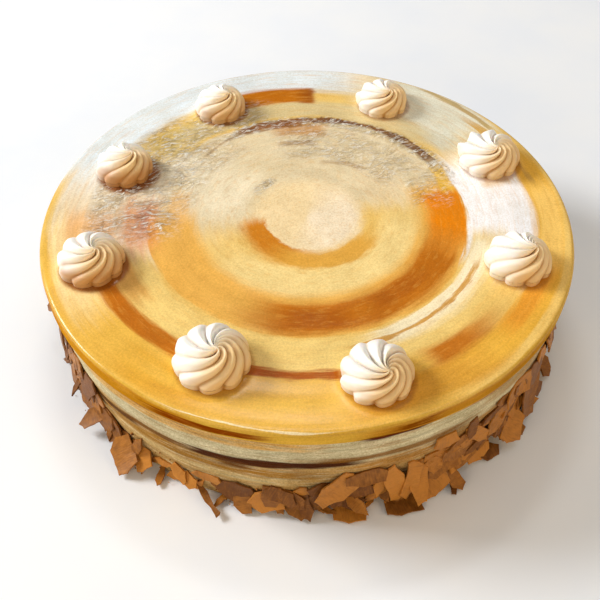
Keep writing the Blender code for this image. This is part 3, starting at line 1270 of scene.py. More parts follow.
@dataclass
class Maker(Graph):
    """A Geometry Nodes tree with named inputs."""
    inlet: Any = None
    outlet: Any = None
    sockets: dict[str, str] = field(default_factory=dict)

    @classmethod
    def new(cls, name: str) -> "Maker":
        """Start a tree that makes one geometry."""
        tree = bpy.data.node_groups.new(name, "GeometryNodeTree")
        tree.interface.new_socket("Geometry", in_out="OUTPUT", socket_type="NodeSocketGeometry")
        return cls(tree, tree.nodes.new("NodeGroupInput"), tree.nodes.new("NodeGroupOutput"))

    def ask(self, name: str, kind: str = "Float") -> Any:
        """A named input.

        Args:
            name: the input's name.
            kind: Float, Int, Vector or Material.

        Returns:
            A value, or the socket itself for a vector or material.
        """
        made = self.tree.interface.new_socket(name, in_out="INPUT", socket_type=f"NodeSocket{kind}")
        self.sockets[name] = made.identifier
        socket = self.inlet.outputs[name]
        return Value(self, socket) if kind in ("Float", "Int") else socket

    def close(self, geometry: bpy.types.NodeSocket, material: Any) -> None:
        """End the tree: realize the instances and set the material."""
        real = self.node("GeometryNodeRealizeInstances", None, {0: geometry})
        painted = self.node("GeometryNodeSetMaterial", None,
                            {"Geometry": real.outputs[0], "Material": material})
        self.tree.links.new(painted.outputs[0], self.outlet.inputs[0])

    def run(self, name: str, values: dict[str, Any]) -> bpy.types.Object:
        """Make one piece with the tree.

        Args:
            name: the piece's name.
            values: its inputs by name.

        Returns:
            The piece, as a plain mesh at the origin.
        """
        piece = add_piece(name, bpy.data.meshes.new(f"{name}_seed"))
        modifier = piece.modifiers.new("Make", "NODES")
        modifier.node_group = self.tree
        for key, value in values.items():
            modifier[self.sockets[key]] = value
        bpy.context.view_layer.update()
        evaluated = piece.evaluated_get(bpy.context.evaluated_depsgraph_get())
        mesh = bpy.data.meshes.new_from_object(evaluated)
        piece.modifiers.clear()
        seed = piece.data
        piece.data = mesh
        mesh.name = name
        bpy.data.meshes.remove(seed)
        return piece


# --------------------------------------------------------------------------------------------------
# Rosettes
# --------------------------------------------------------------------------------------------------


@dataclass(frozen=True)
class Rosette:
    """One piped rosette: place, size, and where its tip leans.

    Attributes:
        angle: degrees round the cake.
        ring: distance from the axis, mm.
        radius: mm.
        lean: direction of the tip, degrees.
        reach: how far the tip sits off centre, in radii.
        turn: degrees of the first ridge.
        barb: how far the crests opposite the tip stand out, in radii.
        stain: how strongly brown gel and painted shadow gather at its foot, and how much soaked brown and
            painted shade its lower front flank takes, 0 to 1.
        gel_and_shadow_spill: how far that gel and painted shadow reach, mm.
    """
    angle: float
    ring: float
    radius: float
    lean: float
    reach: float
    turn: float
    barb: float = 0.0
    stain: float = 0.5
    gel_and_shadow_spill: float = 1.4

    @property
    def pool(self) -> Pool:
        """Brown gel and painted shadow at its foot, reaching further to the front right, away from the key
        light.
        """
        x, y = self.centre.x / MM + 0.6 * self.gel_and_shadow_spill, self.centre.y / MM - 0.5 * self.gel_and_shadow_spill
        return Pool(srgb(142, 78, 16), x, y, self.radius - 0.6, self.gel_and_shadow_spill + 0.6, self.stain)

    @property
    def centre(self) -> Vector:
        """Middle of its base, in metres."""
        turn = math.radians(self.angle)
        return Vector((math.cos(turn), math.sin(turn), 0.0)) * self.ring * MM + Vector((0.0, 0.0, HEIGHT))


ROSETTES = (
    Rosette(-160.6, 103.5, 15.4, -40, 0.34, 0, 0.0, 0.9, 1.8),
    Rosette(160.1, 97.5, 14.2, 0, 0.34, 14, 0.0, 0.95, 3.4),
    Rosette(118.6, 98.0, 13.8, -15, 0.38, 31, 0.0, 0.8, 1.6),
    Rosette(65.8, 100.0, 13.9, -50, 0.36, 8, 0.06),
    Rosette(24.2, 101.5, 15.4, -70, 0.36, 22, 0.12),
    Rosette(-19.0, 101.5, 15.0, -15, 0.42, 5, 0.03),
    Rosette(-73.8, 103.0, 15.4, -60, 0.48, 17, 0.0),
    Rosette(-112.9, 99.5, 16.5, -50, 0.30, 27, 0.0),
)


@dataclass
class RosettePiping:
    """The eight rosettes, each a star-nozzle swirl that winds in to an off-centre tip.

    The shares of a rosette's outline run from 0 at the tip to 1 under its middle.

    Attributes:
        ridges: ridges round a rosette.
        columns: columns of points for each ridge.
        rows: rows of points from tip to foot.
        depth: depth of the grooves, share of the radius.
        rim_depth: share of that depth that is left at the rim.
        crest: where in its period a ridge is highest.
        roundness: power that rounds the ridges.
        height: height of the dome, share of the radius.
        twist: turn of the ridges from rim to tip, radians.
        swing: how much more or less they turn on either side, radians.
        swing_at: direction from the lean in which they turn most, radians.
        tip_twist: further turn right at the tip, radians.
        overhang: how far the crests roll over, radians.
        sink: metres by which a rosette sits in the glaze.
        out_bends: distance from the axis over the outline.
        widest: share of the outline at which it is widest.
        base: share at which it meets the glaze.
        shoulder: height of the rim, share of the dome's.
        dome_power: how square the dome is.
        hollow: how much deeper the grooves are at the tip.
        painted_shade_x: share along +X of the direction in which a rosette is in shade, where its cream is
            given painted shade.
        painted_shade_y: share along +Y of it.
        soak_and_shade_x: share along +X of the direction in which it takes soaked brown and painted shade,
            away from the key light.
        soak_and_shade_y: share along +Y of it.
    """
    ridges: int = 9
    columns: int = 20
    rows: int = 76
    depth: float = 0.22
    rim_depth: float = 0.45
    crest: float = 0.42
    roundness: float = 1.9
    height: float = 0.96
    twist: float = math.radians(90)
    swing: float = math.radians(44)
    swing_at: float = math.radians(-50)
    tip_twist: float = math.radians(45)
    overhang: float = 0.05
    sink: float = 0.15 * MM
    out_bends: tuple[tuple[float, float], ...] = (
        (0.0, 0.0), (1.0, 0.0), (0.10, 0.13), (0.22, 0.35), (0.36, 0.59), (0.50, 0.81), (0.63, 0.96),
        (0.75, 1.0), (0.83, 0.94),
    )
    widest: float = 0.75
    base: float = 0.83
    shoulder: float = 0.2
    dome_power: float = 2.3
    hollow: float = 0.6
    # Painted shade: cream on the side away from the key light is coloured darker and warmer
    painted_shade_x: float = 0.80
    painted_shade_y: float = -0.60
    soak_and_shade_x: float = 0.34
    soak_and_shade_y: float = -0.94

    def tree(self) -> Maker:
        """The swirl as a Geometry Nodes tree.

        Returns:
            The tree, with inputs for a rosette's sizes.
        """
        make = Maker.new("piped_rosette")
        radius, turn = make.ask("Radius"), make.ask("Turn")
        lean, reach = make.ask("Lean"), make.ask("Reach")
        barb, seed, stain = make.ask("Barb"), make.ask("Seed"), make.ask("SoakAndShade")
        place, material = make.ask("Place", "Vector"), make.ask("Cream", "Material")
        ball = make.node("GeometryNodeMeshUVSphere", None,
                         {"Segments": self.ridges * self.columns, "Rings": self.rows, "Radius": 1.0})
        position = make.node("GeometryNodeInputPosition")
        spot = make.node("ShaderNodeSeparateXYZ", None, {0: position.outputs[0]})
        x, y, z = (make.value(spot, k) for k in range(3))
        column = y.to("ARCTAN2", x)
        down = z.least(1.0).most(-1.0).to("ARCCOSINE") / math.pi
        out = make.value(make.node("ShaderNodeFloatCurve", {"bends": self.out_bends}, {"Value": down}))
        above = down.step(self.widest + 0.05, self.widest - 0.05)
        inward = (1 - out) * above
        phase = (column * (self.ridges / math.tau) + 4 * self.ridges).to("FRACT")
        ridge = self.ridge(phase)
        side = column - turn - lean - self.swing_at
        wound = side.to("COSINE") * self.swing + self.twist
        angle = column + inward ** 0.8 * wound + inward ** 4 * self.tip_twist - turn
        angle = angle - ridge ** 2 * (out.step(0.05, 0.4) * self.overhang)
        cosine, sine = angle.to("COSINE"), angle.to("SINE")
        wobble = make.noise(make.vector(x + seed, y, z), 1.3, 2.0, 0.5) - 0.5
        away = (angle - lean).to("COSINE") * -1.0
        barbed = ridge ** 6 * away.step(0.1, 0.8) * out.step(0.78, 0.97) * barb
        shift_x = inward * reach * lean.to("COSINE")
        shift_y = inward * reach * lean.to("SINE")
        far_x, far_y = shift_x + out * cosine, shift_y + out * sine
        far = (far_x * far_x + far_y * far_y).to("SQRT").least(1.0)
        far = far.most(1 - above)
        dome = (1 - far ** self.dome_power) ** 0.5 * (1 - self.shoulder) + self.shoulder
        foot = down.step(self.base, self.widest)
        steep = far ** 2
        hollow = out.step(0.0, 0.22) * (out.step(0.75, 0.25) * self.hollow + 1)
        hollow = hollow * (1 - out.step(0.55, 0.95) * (1 - self.rim_depth))
        deep = hollow * (1 - ridge) * (wobble * 0.5 + self.depth)
        flat = out * (1 + wobble * 0.10 + barbed) - deep * (steep * 0.65 + 0.35)
        tall = (dome * foot * (1 + wobble * 0.10) + barbed * 0.6) * self.height
        tall = (tall - deep * (1 - steep) * 0.8 * foot).most(0.0) * radius
        new_x = (shift_x + flat * cosine) * radius
        new_y = (shift_y + flat * sine) * radius
        local = make.vector(new_x, new_y, tall)
        moved = make.node("ShaderNodeVectorMath", {"operation": "ADD"}, {0: local, 1: place})
        # Painted shade in the grooves: the low part of each ridge, stored for the cream's colour
        groove_shade = (1 - ridge) * out.step(0.0, 0.12)
        # Painted shade: how far a point lies toward the side away from the key light
        painted_shade = (far_x * self.painted_shade_x + far_y * self.painted_shade_y).step(-0.15, 0.70)
        # Brown low on the flank that faces the front: gel soaked into the cream, with painted shade on this
        # side away from the key light
        soak_and_shade_side = far_x * self.soak_and_shade_x + far_y * self.soak_and_shade_y + wobble * 0.8
        soak_and_shade = down.step(0.40, 0.66) * soak_and_shade_side.step(-0.1, 0.6) * stain
        shape = ball
        for name, mark in (("groove_shade", groove_shade), ("painted_shade", painted_shade), ("soak_and_shade", soak_and_shade)):
            shape = make.node("GeometryNodeStoreNamedAttribute", {"data_type": "FLOAT", "domain": "POINT"},
                              {"Geometry": shape.outputs[0], "Name": name, "Value": mark})
        shape = make.node("GeometryNodeSetPosition", None,
                          {"Geometry": shape.outputs[0], "Position": moved.outputs[0]})
        smooth = make.node("GeometryNodeSetShadeSmooth", None, {0: shape.outputs[0]})
        make.close(smooth.outputs[0], material)
        return make

    def ridge(self, phase: Value) -> Value:
        """Height of a ridge over its period: a round lobe between two sharp grooves."""
        before = (1 - phase / self.crest).most(0.0)
        after = ((phase - self.crest) / (1 - self.crest)).most(0.0)
        return 1 - before.most(after) ** self.roundness

    def dress(self, material: bpy.types.Material) -> None:
        """Pipe each rosette and hand it over."""
        make = self.tree()
        for number, rosette in enumerate(ROSETTES, 1):
            piece = make.run(f"rosette_{number}_piped", {
                "Radius": rosette.radius * MM,
                "Turn": math.radians(rosette.turn),
                "Lean": math.radians(rosette.lean),
                "Reach": rosette.reach,
                "Barb": rosette.barb,
                "Seed": 3.7 * number,
                "SoakAndShade": rosette.stain ** 3,
                "Place": rosette.centre - Vector((0.0, 0.0, self.sink)),
                "Cream": material,
            })
            hand_over(piece, Slot.CREAM, f"rosette_{number}")


@dataclass(frozen=True)
class CreamFinish:
    """Whipped cream: ivory, soft, with a fine open grain; painted shade on its side away from the key light
    and in its grooves, and soaked brown with painted shade low on its front.
    """
    light: Colour = srgb(255, 254, 250)
    warm: Colour = srgb(254, 250, 240)
    # Painted shade on the side of a rosette away from the key light
    painted_shade: Colour = srgb(238, 202, 138)
    # Painted shade in the grooves between the ridges
    groove_shade: Colour = srgb(196, 146, 80)
    # Soaked brown with painted shade, low on the flank that faces the front
    soak_and_shade: Colour = srgb(186, 126, 62)

    def material(self) -> bpy.types.Material:
        """Build the material."""
        finish = Finish.new("piped_cream", Subsurface_Weight=0.2, Subsurface_Radius=(1.0, 0.66, 0.36),
                            Subsurface_Scale=1.6 * MM, IOR=1.42)
        x, y, z = finish.place()
        spot = finish.vector(x, y, z)
        patch = finish.noise(spot, 0.16, 2.0, 0.5)
        grain = finish.noise(spot, 2.6, 3.0, 0.6)
        pores = finish.noise(spot, 1.1, 2.0, 0.5)
        groove_shade = finish.value(finish.node("ShaderNodeAttribute", {"attribute_name": "groove_shade"}), "Fac")
        colour = finish.mix(patch.step(0.35, 0.75), self.light, self.warm)
        painted_shade = finish.value(finish.node("ShaderNodeAttribute", {"attribute_name": "painted_shade"}), "Fac")
        soak_and_shade = finish.value(finish.node("ShaderNodeAttribute", {"attribute_name": "soak_and_shade"}), "Fac")
        # Painted shade on the side away from the key light, then in the grooves, deeper on that side
        colour = finish.mix(painted_shade * 0.9, colour, self.painted_shade)
        colour = finish.mix(groove_shade.step(0.45, 1.0) * (painted_shade * 0.6 + 0.35), colour, self.groove_shade)
        # Soaked brown with painted shade low on the front flank
        finish.feed("Base Color", finish.mix(soak_and_shade, colour, self.soak_and_shade))
        finish.feed("Roughness", (grain - 0.5) * 0.25 + 0.42)
        finish.bump(grain * 0.6 + pores * 0.4, 0.22 * MM, 0.6)
        return finish.material


# --------------------------------------------------------------------------------------------------
# Chocolate
# --------------------------------------------------------------------------------------------------


@dataclass(frozen=True)
class Flake:
    """One flake: place on the wall, size, and how it is turned and tipped.

    Attributes:
        angle: degrees round the cake.
        mid: height of its middle, mm.
        length: mm.
        width: mm.
        turn: degrees in its own plane, 0 = level.
        tip: degrees, 0 = flat on the wall, 90 = lying down.
        corners: corners of its outline.
    """
    angle: float
    mid: float
    length: float
    width: float
    turn: float
    tip: float
    corners: int = 7


# The large flakes at the front, left to right
FRONT_FLAKES = (
    Flake(-172, 24, 15, 12, -60, 38), Flake(-155, 10, 18, 11, -50, 16), Flake(-141, 13, 25, 14, -12, 14),
    Flake(-133, 8, 14, 11, -26, 30), Flake(-128, 1, 9, 6, 20, 82), Flake(-122, 1, 11, 4, -70, 84),
    Flake(-110, 3, 21, 4, -36, 72), Flake(-108, 1, 10, 3, 70, 84), Flake(-104, 10, 23, 14, -8, 9),
    Flake(-97, 11, 16, 10, 84, 12), Flake(-92.5, 5, 16, 8, -28, 50), Flake(-89, 9, 14, 8, 40, 14),
    Flake(-84, 20, 25, 14, 46, 12), Flake(-78, 26, 21, 9, 6, 22), Flake(-81, 1, 18, 11, 0, 80),
    Flake(-72, 18, 26, 10, -78, 8), Flake(-70, 1, 19, 14, -5, 84), Flake(-67, 14, 25, 10, 84, 26),
    Flake(-63, 7, 17, 13, 25, 32), Flake(-61, 25, 22, 6, -10, 4), Flake(-58, 1, 17, 3.5, 55, 82),
    Flake(-54, 11, 18, 9, 15, 20), Flake(-46, 25, 19, 14, 58, 6), Flake(-33, 16, 30, 20, 66, 13),
    Flake(-18, 24, 17, 13, 50, 12),
)


# Long thin shards that lie along the wall at the right
SLIVERS = tuple(Flake(angle, mid, length, width, turn, tip, 6) for angle, mid, length, width, turn, tip in (
    (-62, 24, 24, 4.4, 14, 12),
    (-55, 29, 30, 5.0, 10, 9),
    (-47, 33, 27, 4.6, 8, 8),
    (-50, 18, 25, 4.2, 20, 16),
    (-40, 27, 28, 5.4, 6, 12),
    (-33, 34, 24, 5.0, 10, 8),
    (-57, 11, 19, 3.2, 74, 10),
    (-43, 14, 20, 3.8, 58, 18),
    (-68, 13, 20, 4.6, 12, 16),
    (-84, 9, 18, 4.2, -10, 22),
    (-146, 24, 24, 5.0, -12, 10),
    (-156, 30, 26, 5.2, -8, 8),
    (-165, 20, 22, 4.6, -16, 12),
    (-136, 15, 18, 3.6, -30, 14),
))


@dataclass(frozen=True)
class Tier:
    """Flakes strewn evenly round the foot by a seeded draw; each range is from low to high.

    Attributes:
        count: how many are drawn.
        mids: height of their middles, mm.
        lengths: mm.
        tips: degrees, 0 = flat on the wall.
        span: angles round the cake, degrees.
    """
    count: int
    mids: tuple[float, float]
    lengths: tuple[float, float]
    tips: tuple[float, float]
    span: tuple[float, float] = (-180, 180)


@dataclass
class FlakeCollar:
    """Broken chocolate flakes pressed round the foot of the cake.

    Attributes:
        thick: metres.
        bite: metres by which a flake cuts into the wall.
        clear: metres between the table and a flake's plane.
        seed: start of the random draws.
        loose_corners: corners of a strewn flake.
        slender: width over length, least and most.
        sparse: degrees in which none are strewn.
        front: degrees in which fewer are strewn.
        front_share: share kept there.
        shaded: degrees in which flakes are darker.
        tiers: the other flakes of the solid.
        shards: thinner flakes between and over them.
        curl: bow across a flake, share of its width.
        flake_splits: how often each side of a flake's outline is halved.
        shard_splits: how often for a shard.
        rings: rings of points on each face.
        ragged: how far a break leaves the straight line, share of its length.
        ripple: metres by which the faces ripple.
        edge_inset: share by which the faces stop short of the edge.
        far_out: metres from the foot from which a flake is moved in.
        shade: share of the tone that is left where flakes are darker.
        sharp: angle between faces from which an edge is sharp, radians.
    """
    thick: float = 0.95 * MM
    bite: float = 0.5 * MM
    clear: float = 0.4 * MM
    seed: int = 11
    loose_corners: int = 6
    slender: tuple[float, float] = (0.28, 0.75)
    sparse: tuple[float, float] = (-128, -106)
    front: tuple[float, float] = (-178, -12)
    front_share: float = 0.6
    shaded: tuple[float, float] = (-190, -128)
    tiers: tuple[Tier, ...] = (
        Tier(54, (7, 18), (16, 28), (3, 16)),
        Tier(34, (4, 12), (12, 22), (25, 55)),
        Tier(24, (1, 2), (7, 14), (74, 86)),
    )
    shards: tuple[Tier, ...] = (
        Tier(44, (2, 9), (7, 15), (30, 62)),
        Tier(40, (0.5, 1.5), (3, 9), (72, 88)),
        Tier(26, (18, 36), (14, 25), (2, 9), (-66, -8)),
        Tier(16, (8, 22), (12, 22), (6, 22), (-66, -8)),
        Tier(30, (12, 34), (11, 22), (2, 12), (-184, -140)),
        Tier(14, (6, 18), (12, 22), (4, 20), (-182, -140)),
        Tier(14, (3, 12), (8, 15), (10, 46), (-142, -112)),
        Tier(20, (4, 14), (10, 18), (4, 26), (-112, -62)),
        Tier(60, (6, 30), (10, 20), (2, 14), (-8, 180)),
    )
    curl: float = 0.10
    flake_splits: int = 3
    shard_splits: int = 2
    rings: int = 4
    ragged: float = 0.07
    ripple: float = 0.22 * MM
    edge_inset: float = 0.035
    far_out: float = 30 * MM
    shade: float = 0.55
    sharp: float = math.radians(38)

    def loose_flakes(self, rng: random.Random, tiers: tuple[Tier, ...], share: float) -> list[Flake]:
        """Flakes strewn round the foot, tier by tier.

        Args:
            rng: the draw.
            tiers: which flakes.
            share: share that is kept at the front.

        Returns:
            The flakes.
        """
        flakes = []
        for tier in tiers:
            first, last = tier.span
            whole = last - first == 360
            for k in range(tier.count):
                angle = first + (last - first) * (k + rng.uniform(0.1, 0.9)) / tier.count
                length = rng.uniform(*tier.lengths)
                width = length * rng.uniform(*self.slender)
                turn, mid, tip = rng.uniform(-85, 85), rng.uniform(*tier.mids), rng.uniform(*tier.tips)
                keep = share if self.front[0] < angle < self.front[1] else 1.0
                bare = whole and self.sparse[0] < angle < self.sparse[1]
                if rng.random() < keep and not bare:
                    flakes.append(Flake(angle, mid, length, width, turn, tip, self.loose_corners))
        return flakes

    @staticmethod
    def outline(flake: Flake, rng: random.Random) -> tuple[list[tuple[float, float]], float]:
        """Corners of a broken flake in its own plane, and the bow of its ends, in metres."""
        corners = []
        for k in range(flake.corners):
            angle = math.tau * (k + rng.uniform(-0.28, 0.28)) / flake.corners
            across, along = math.sin(angle), math.cos(angle)
            square = max(abs(across), abs(along)) ** -0.75
            reach = square * rng.uniform(0.82, 1.0)
            corners.append((along * reach * flake.length * MM / 2, across * reach * flake.width * MM / 2))
        return corners, rng.uniform(-0.06, 0.09) * flake.length * MM

    @staticmethod
    def axes(flake: Flake) -> tuple[Vector, Vector, Vector, Vector]:
        """Unit vectors at the flake: along, across and outward, and the way out from the axis."""
        angle, turn, tip = (math.radians(value) for value in (flake.angle, flake.turn, flake.tip))
        outward = Vector((math.cos(angle), math.sin(angle), 0.0))
        level = Vector((-math.sin(angle), math.cos(angle), 0.0))
        rising = Vector((0.0, 0.0, math.cos(tip))) - outward * math.sin(tip)
        along = level * math.cos(turn) + rising * math.sin(turn)
        across = rising * math.cos(turn) - level * math.sin(turn)
        return along, across, along.cross(across), outward

    def settle(self, points: list[Vector], outward: Vector) -> Vector:
        """How far a flake moves to clear the table and lie against the wall."""
        lift = max(self.clear - min(point.z for point in points), 0.0)
        raised = [point + Vector((0.0, 0.0, lift)) for point in points]
        gap = min(math.hypot(point.x, point.y) - wall_radius(point.z) for point in raised)
        return Vector((0.0, 0.0, lift)) - outward * (gap + self.bite)

    def broken_edge(self, corners: list[tuple[float, float]], splits: int,
                    rng: random.Random) -> list[tuple[float, float]]:
        """Split each side of the outline, moving the new points in and out as a break does.

        Args:
            corners: the outline's corners.
            splits: how often each side is halved.
            rng: the draw.

        Returns:
            The ragged outline.
        """
        edge = list(corners)
        ragged = self.ragged
        for _ in range(splits):
            split = []
            for (ax, ay), (bx, by) in zip(edge, edge[1:] + edge[:1]):
                span = math.hypot(bx - ax, by - ay)
                off = rng.uniform(-ragged, 0.45 * ragged) * span
                along = rng.uniform(0.38, 0.62)
                out_x, out_y = (by - ay) / max(span, 1e-9), (ax - bx) / max(span, 1e-9)
                broken = (ax + (bx - ax) * along + out_x * off, ay + (by - ay) * along + out_y * off)
                split += [(ax, ay), broken]
            edge = split
            ragged *= 0.85
        return edge

    def flake_shell(self, flake: Flake, index: int,
                    splits: int) -> tuple[list[Vector], list[tuple[int, ...]], list[Vector]]:
        """One flake: two rippled faces and a broken edge.

        Args:
            flake: its place and size.
            index: its number, which seeds its shape.
            splits: how often each side of its outline is halved.

        Returns:
            Its points, its faces, and each point's place in the flake's own plane in mm.
        """
        corners, bow = self.outline(flake, random.Random(self.seed * 1000 + index))
        curl = random.Random(self.seed * 300 + index).uniform(-0.4, 1.0) * self.curl * flake.width * MM
        along, across, facing, outward = self.axes(flake)
        start = outward * (FOOT_RADIUS + self.far_out) + Vector((0.0, 0.0, flake.mid * MM))

        def bent(x: float, y: float) -> Vector:
            """A place in the flake's plane, bowed and set in the world."""
            bend = bow * (2 * x / (flake.length * MM)) ** 2 + curl * (2 * y / (flake.width * MM)) ** 2
            return start + along * x + across * y + facing * bend

        shift = self.settle([start] + [bent(x, y) for x, y in corners], outward)
        rng = random.Random(self.seed * 7000 + index)
        edge = self.broken_edge(corners, splits, rng)
        middle = (sum(x for x, _ in edge) / len(edge), sum(y for _, y in edge) / len(edge))
        points, plan = [], []
        for level in range(2):
            for ring in range(self.rings, 0, -1):
                share = ring / self.rings
                inset = 1.0 - (self.edge_inset if ring == self.rings else 0.0)
                for x, y in edge:
                    px = middle[0] + (x - middle[0]) * share * inset
                    py = middle[1] + (y - middle[1]) * share * inset
                    spot = Vector((px / (2.4 * MM), py / (5.5 * MM), index * 1.7 + level))
                    wave = self.ripple * noise.noise(spot)
                    thick = self.thick * level + wave * (1 if level else 0.4)
                    points.append(bent(px, py) + shift + facing * thick)
                    plan.append(Vector((px / MM + 31 * index, py / MM, level * 9.0)))
            points.append(bent(*middle) + shift + facing * self.thick * level)
            plan.append(Vector((middle[0] / MM + 31 * index, middle[1] / MM, level * 9.0)))
        waist = len(points)
        for x, y in edge:
            points.append(bent(x, y) + shift + facing * self.thick * rng.uniform(0.35, 0.65))
            plan.append(Vector((x / MM + 31 * index, y / MM, 4.0)))
        return points, self.shell_faces(len(edge), waist), plan

    def shell_faces(self, n: int, waist: int) -> list[tuple[int, ...]]:
        """Faces of a flake.

        Args:
            n: points on its outline.
            waist: first point of the ring round its edge.

        Returns:
            Each face's points, pointing out.
        """
        faces: list[tuple[int, ...]] = []
        side = self.rings * n + 1
        for level in range(2):
            base = level * side
            for ring in range(self.rings - 1):
                for k in range(n):
                    quad = (base + ring * n + k, base + ring * n + (k + 1) % n,
                            base + (ring + 1) * n + (k + 1) % n, base + (ring + 1) * n + k)
                    faces.append(quad if level else quad[::-1])
            for k in range(n):
                inner = base + (self.rings - 1) * n
                tri = (inner + k, inner + (k + 1) % n, base + side - 1)
                faces.append(tri if level else tri[::-1])
        for k in range(n):
            after = (k + 1) % n
            faces.append((k, after, waist + after, waist + k))
            faces.append((waist + k, waist + after, side + after, side + k))
        return faces

    def strew(self, name: str, flakes: list[Flake], first: int, splits: int, draw: random.Random,
              material: bpy.types.Material) -> None:
        """Make one piece of many flakes and hand it over.

        Args:
            name: the piece's name.
            flakes: the flakes.
            first: number of the first one.
            splits: how often each side of an outline is halved.
            draw: the draw of their tones.
            material: their finish.
        """
        points: list[Vector] = []
        faces: list[tuple[int, ...]] = []
        plans: list[Vector] = []
        tones: list[float] = []
        for index, flake in enumerate(flakes, first):
            shell, rims, plan = self.flake_shell(flake, index, splits)
            faces += [tuple(len(points) + corner for corner in rim) for rim in rims]
            points += shell
            plans += plan
            shade = self.shade if self.shaded[0] < flake.angle < self.shaded[1] else 1.0
            tones += [draw.random() * shade] * len(shell)
        mesh = bpy.data.meshes.new(name)
        mesh.from_pydata([tuple(point) for point in points], [], faces)
        grain = mesh.attributes.new("flake_plane", "FLOAT_VECTOR", "POINT")
        grain.data.foreach_set("vector", [c for plan in plans for c in plan])
        tone = mesh.attributes.new("flake_tone", "FLOAT", "POINT")
        tone.data.foreach_set("value", tones)
        mesh.set_sharp_from_angle(angle=self.sharp)
        hand_over(add_piece(name, mesh, material), None, "cake")

    def dress(self, material: bpy.types.Material) -> None:
        """Make the flakes and the shards, a piece of each kind.

        Args:
            material: the chocolate.
        """
        flakes = [*FRONT_FLAKES, *self.loose_flakes(random.Random(self.seed), self.tiers, self.front_share)]
        shards = [*self.loose_flakes(random.Random(self.seed + 1), self.shards, 1.0), *SLIVERS]
        draw = random.Random(self.seed + 5)
        self.strew("chocolate_flakes", flakes, 0, self.flake_splits, draw, material)
        self.strew("chocolate_shards", shards, len(flakes), self.shard_splits, draw, material)


@dataclass(frozen=True)
class ChocolateFinish:
    """Milk chocolate: flakes differ in tone, and their faces show the drag of the blade."""
    dark: Colour = srgb(104, 60, 18)
    light: Colour = srgb(194, 128, 50)

    def material(self, plain: bool = False) -> bpy.types.Material:
        """Build the material.

        Args:
            plain: True for crumbs, whose grain reads the object's own place.

        Returns:
            The material.
        """
        name = "chocolate_crumb" if plain else "milk_chocolate"
        finish = Finish.new(name, Subsurface_Weight=0.06, Subsurface_Radius=(1.0, 0.45, 0.2),
                            Subsurface_Scale=0.8 * MM, Specular_IOR_Level=0.22)
        x, y, z = finish.place()
        spot = finish.vector(x, y, z)
        if plain:
            tone = finish.noise(spot, 0.7, 1.0, 0.5).step(0.3, 0.7)
            drag = finish.noise(spot, 1.4, 2.0, 0.5)
        else:
            plane = finish.node("ShaderNodeAttribute", {"attribute_name": "flake_plane"}).outputs["Vector"]
            parts = finish.node("ShaderNodeSeparateXYZ", None, {0: plane})
            u, v, w = (finish.value(parts, k) for k in range(3))
            tone = finish.value(finish.node("ShaderNodeAttribute", {"attribute_name": "flake_tone"}), "Fac")
            drag = finish.noise(finish.vector(u * 1.6, v * 0.22, w), 1.0, 3.0, 0.6)
        bloom = finish.noise(spot, 0.35, 3.0, 0.6)
        share = tone * 0.75 + (drag - 0.5) * 0.6 + (bloom - 0.5) * 0.6 + 0.14
        colour = finish.mix(share.step(0.0, 1.0), self.dark, self.light)
        finish.feed("Base Color", colour)
        finish.feed("Roughness", (drag - 0.5) * 0.3 + 0.46)
        finish.bump(drag * 0.7 + bloom * 0.3, 0.35 * MM, 0.6)
        return finish.material


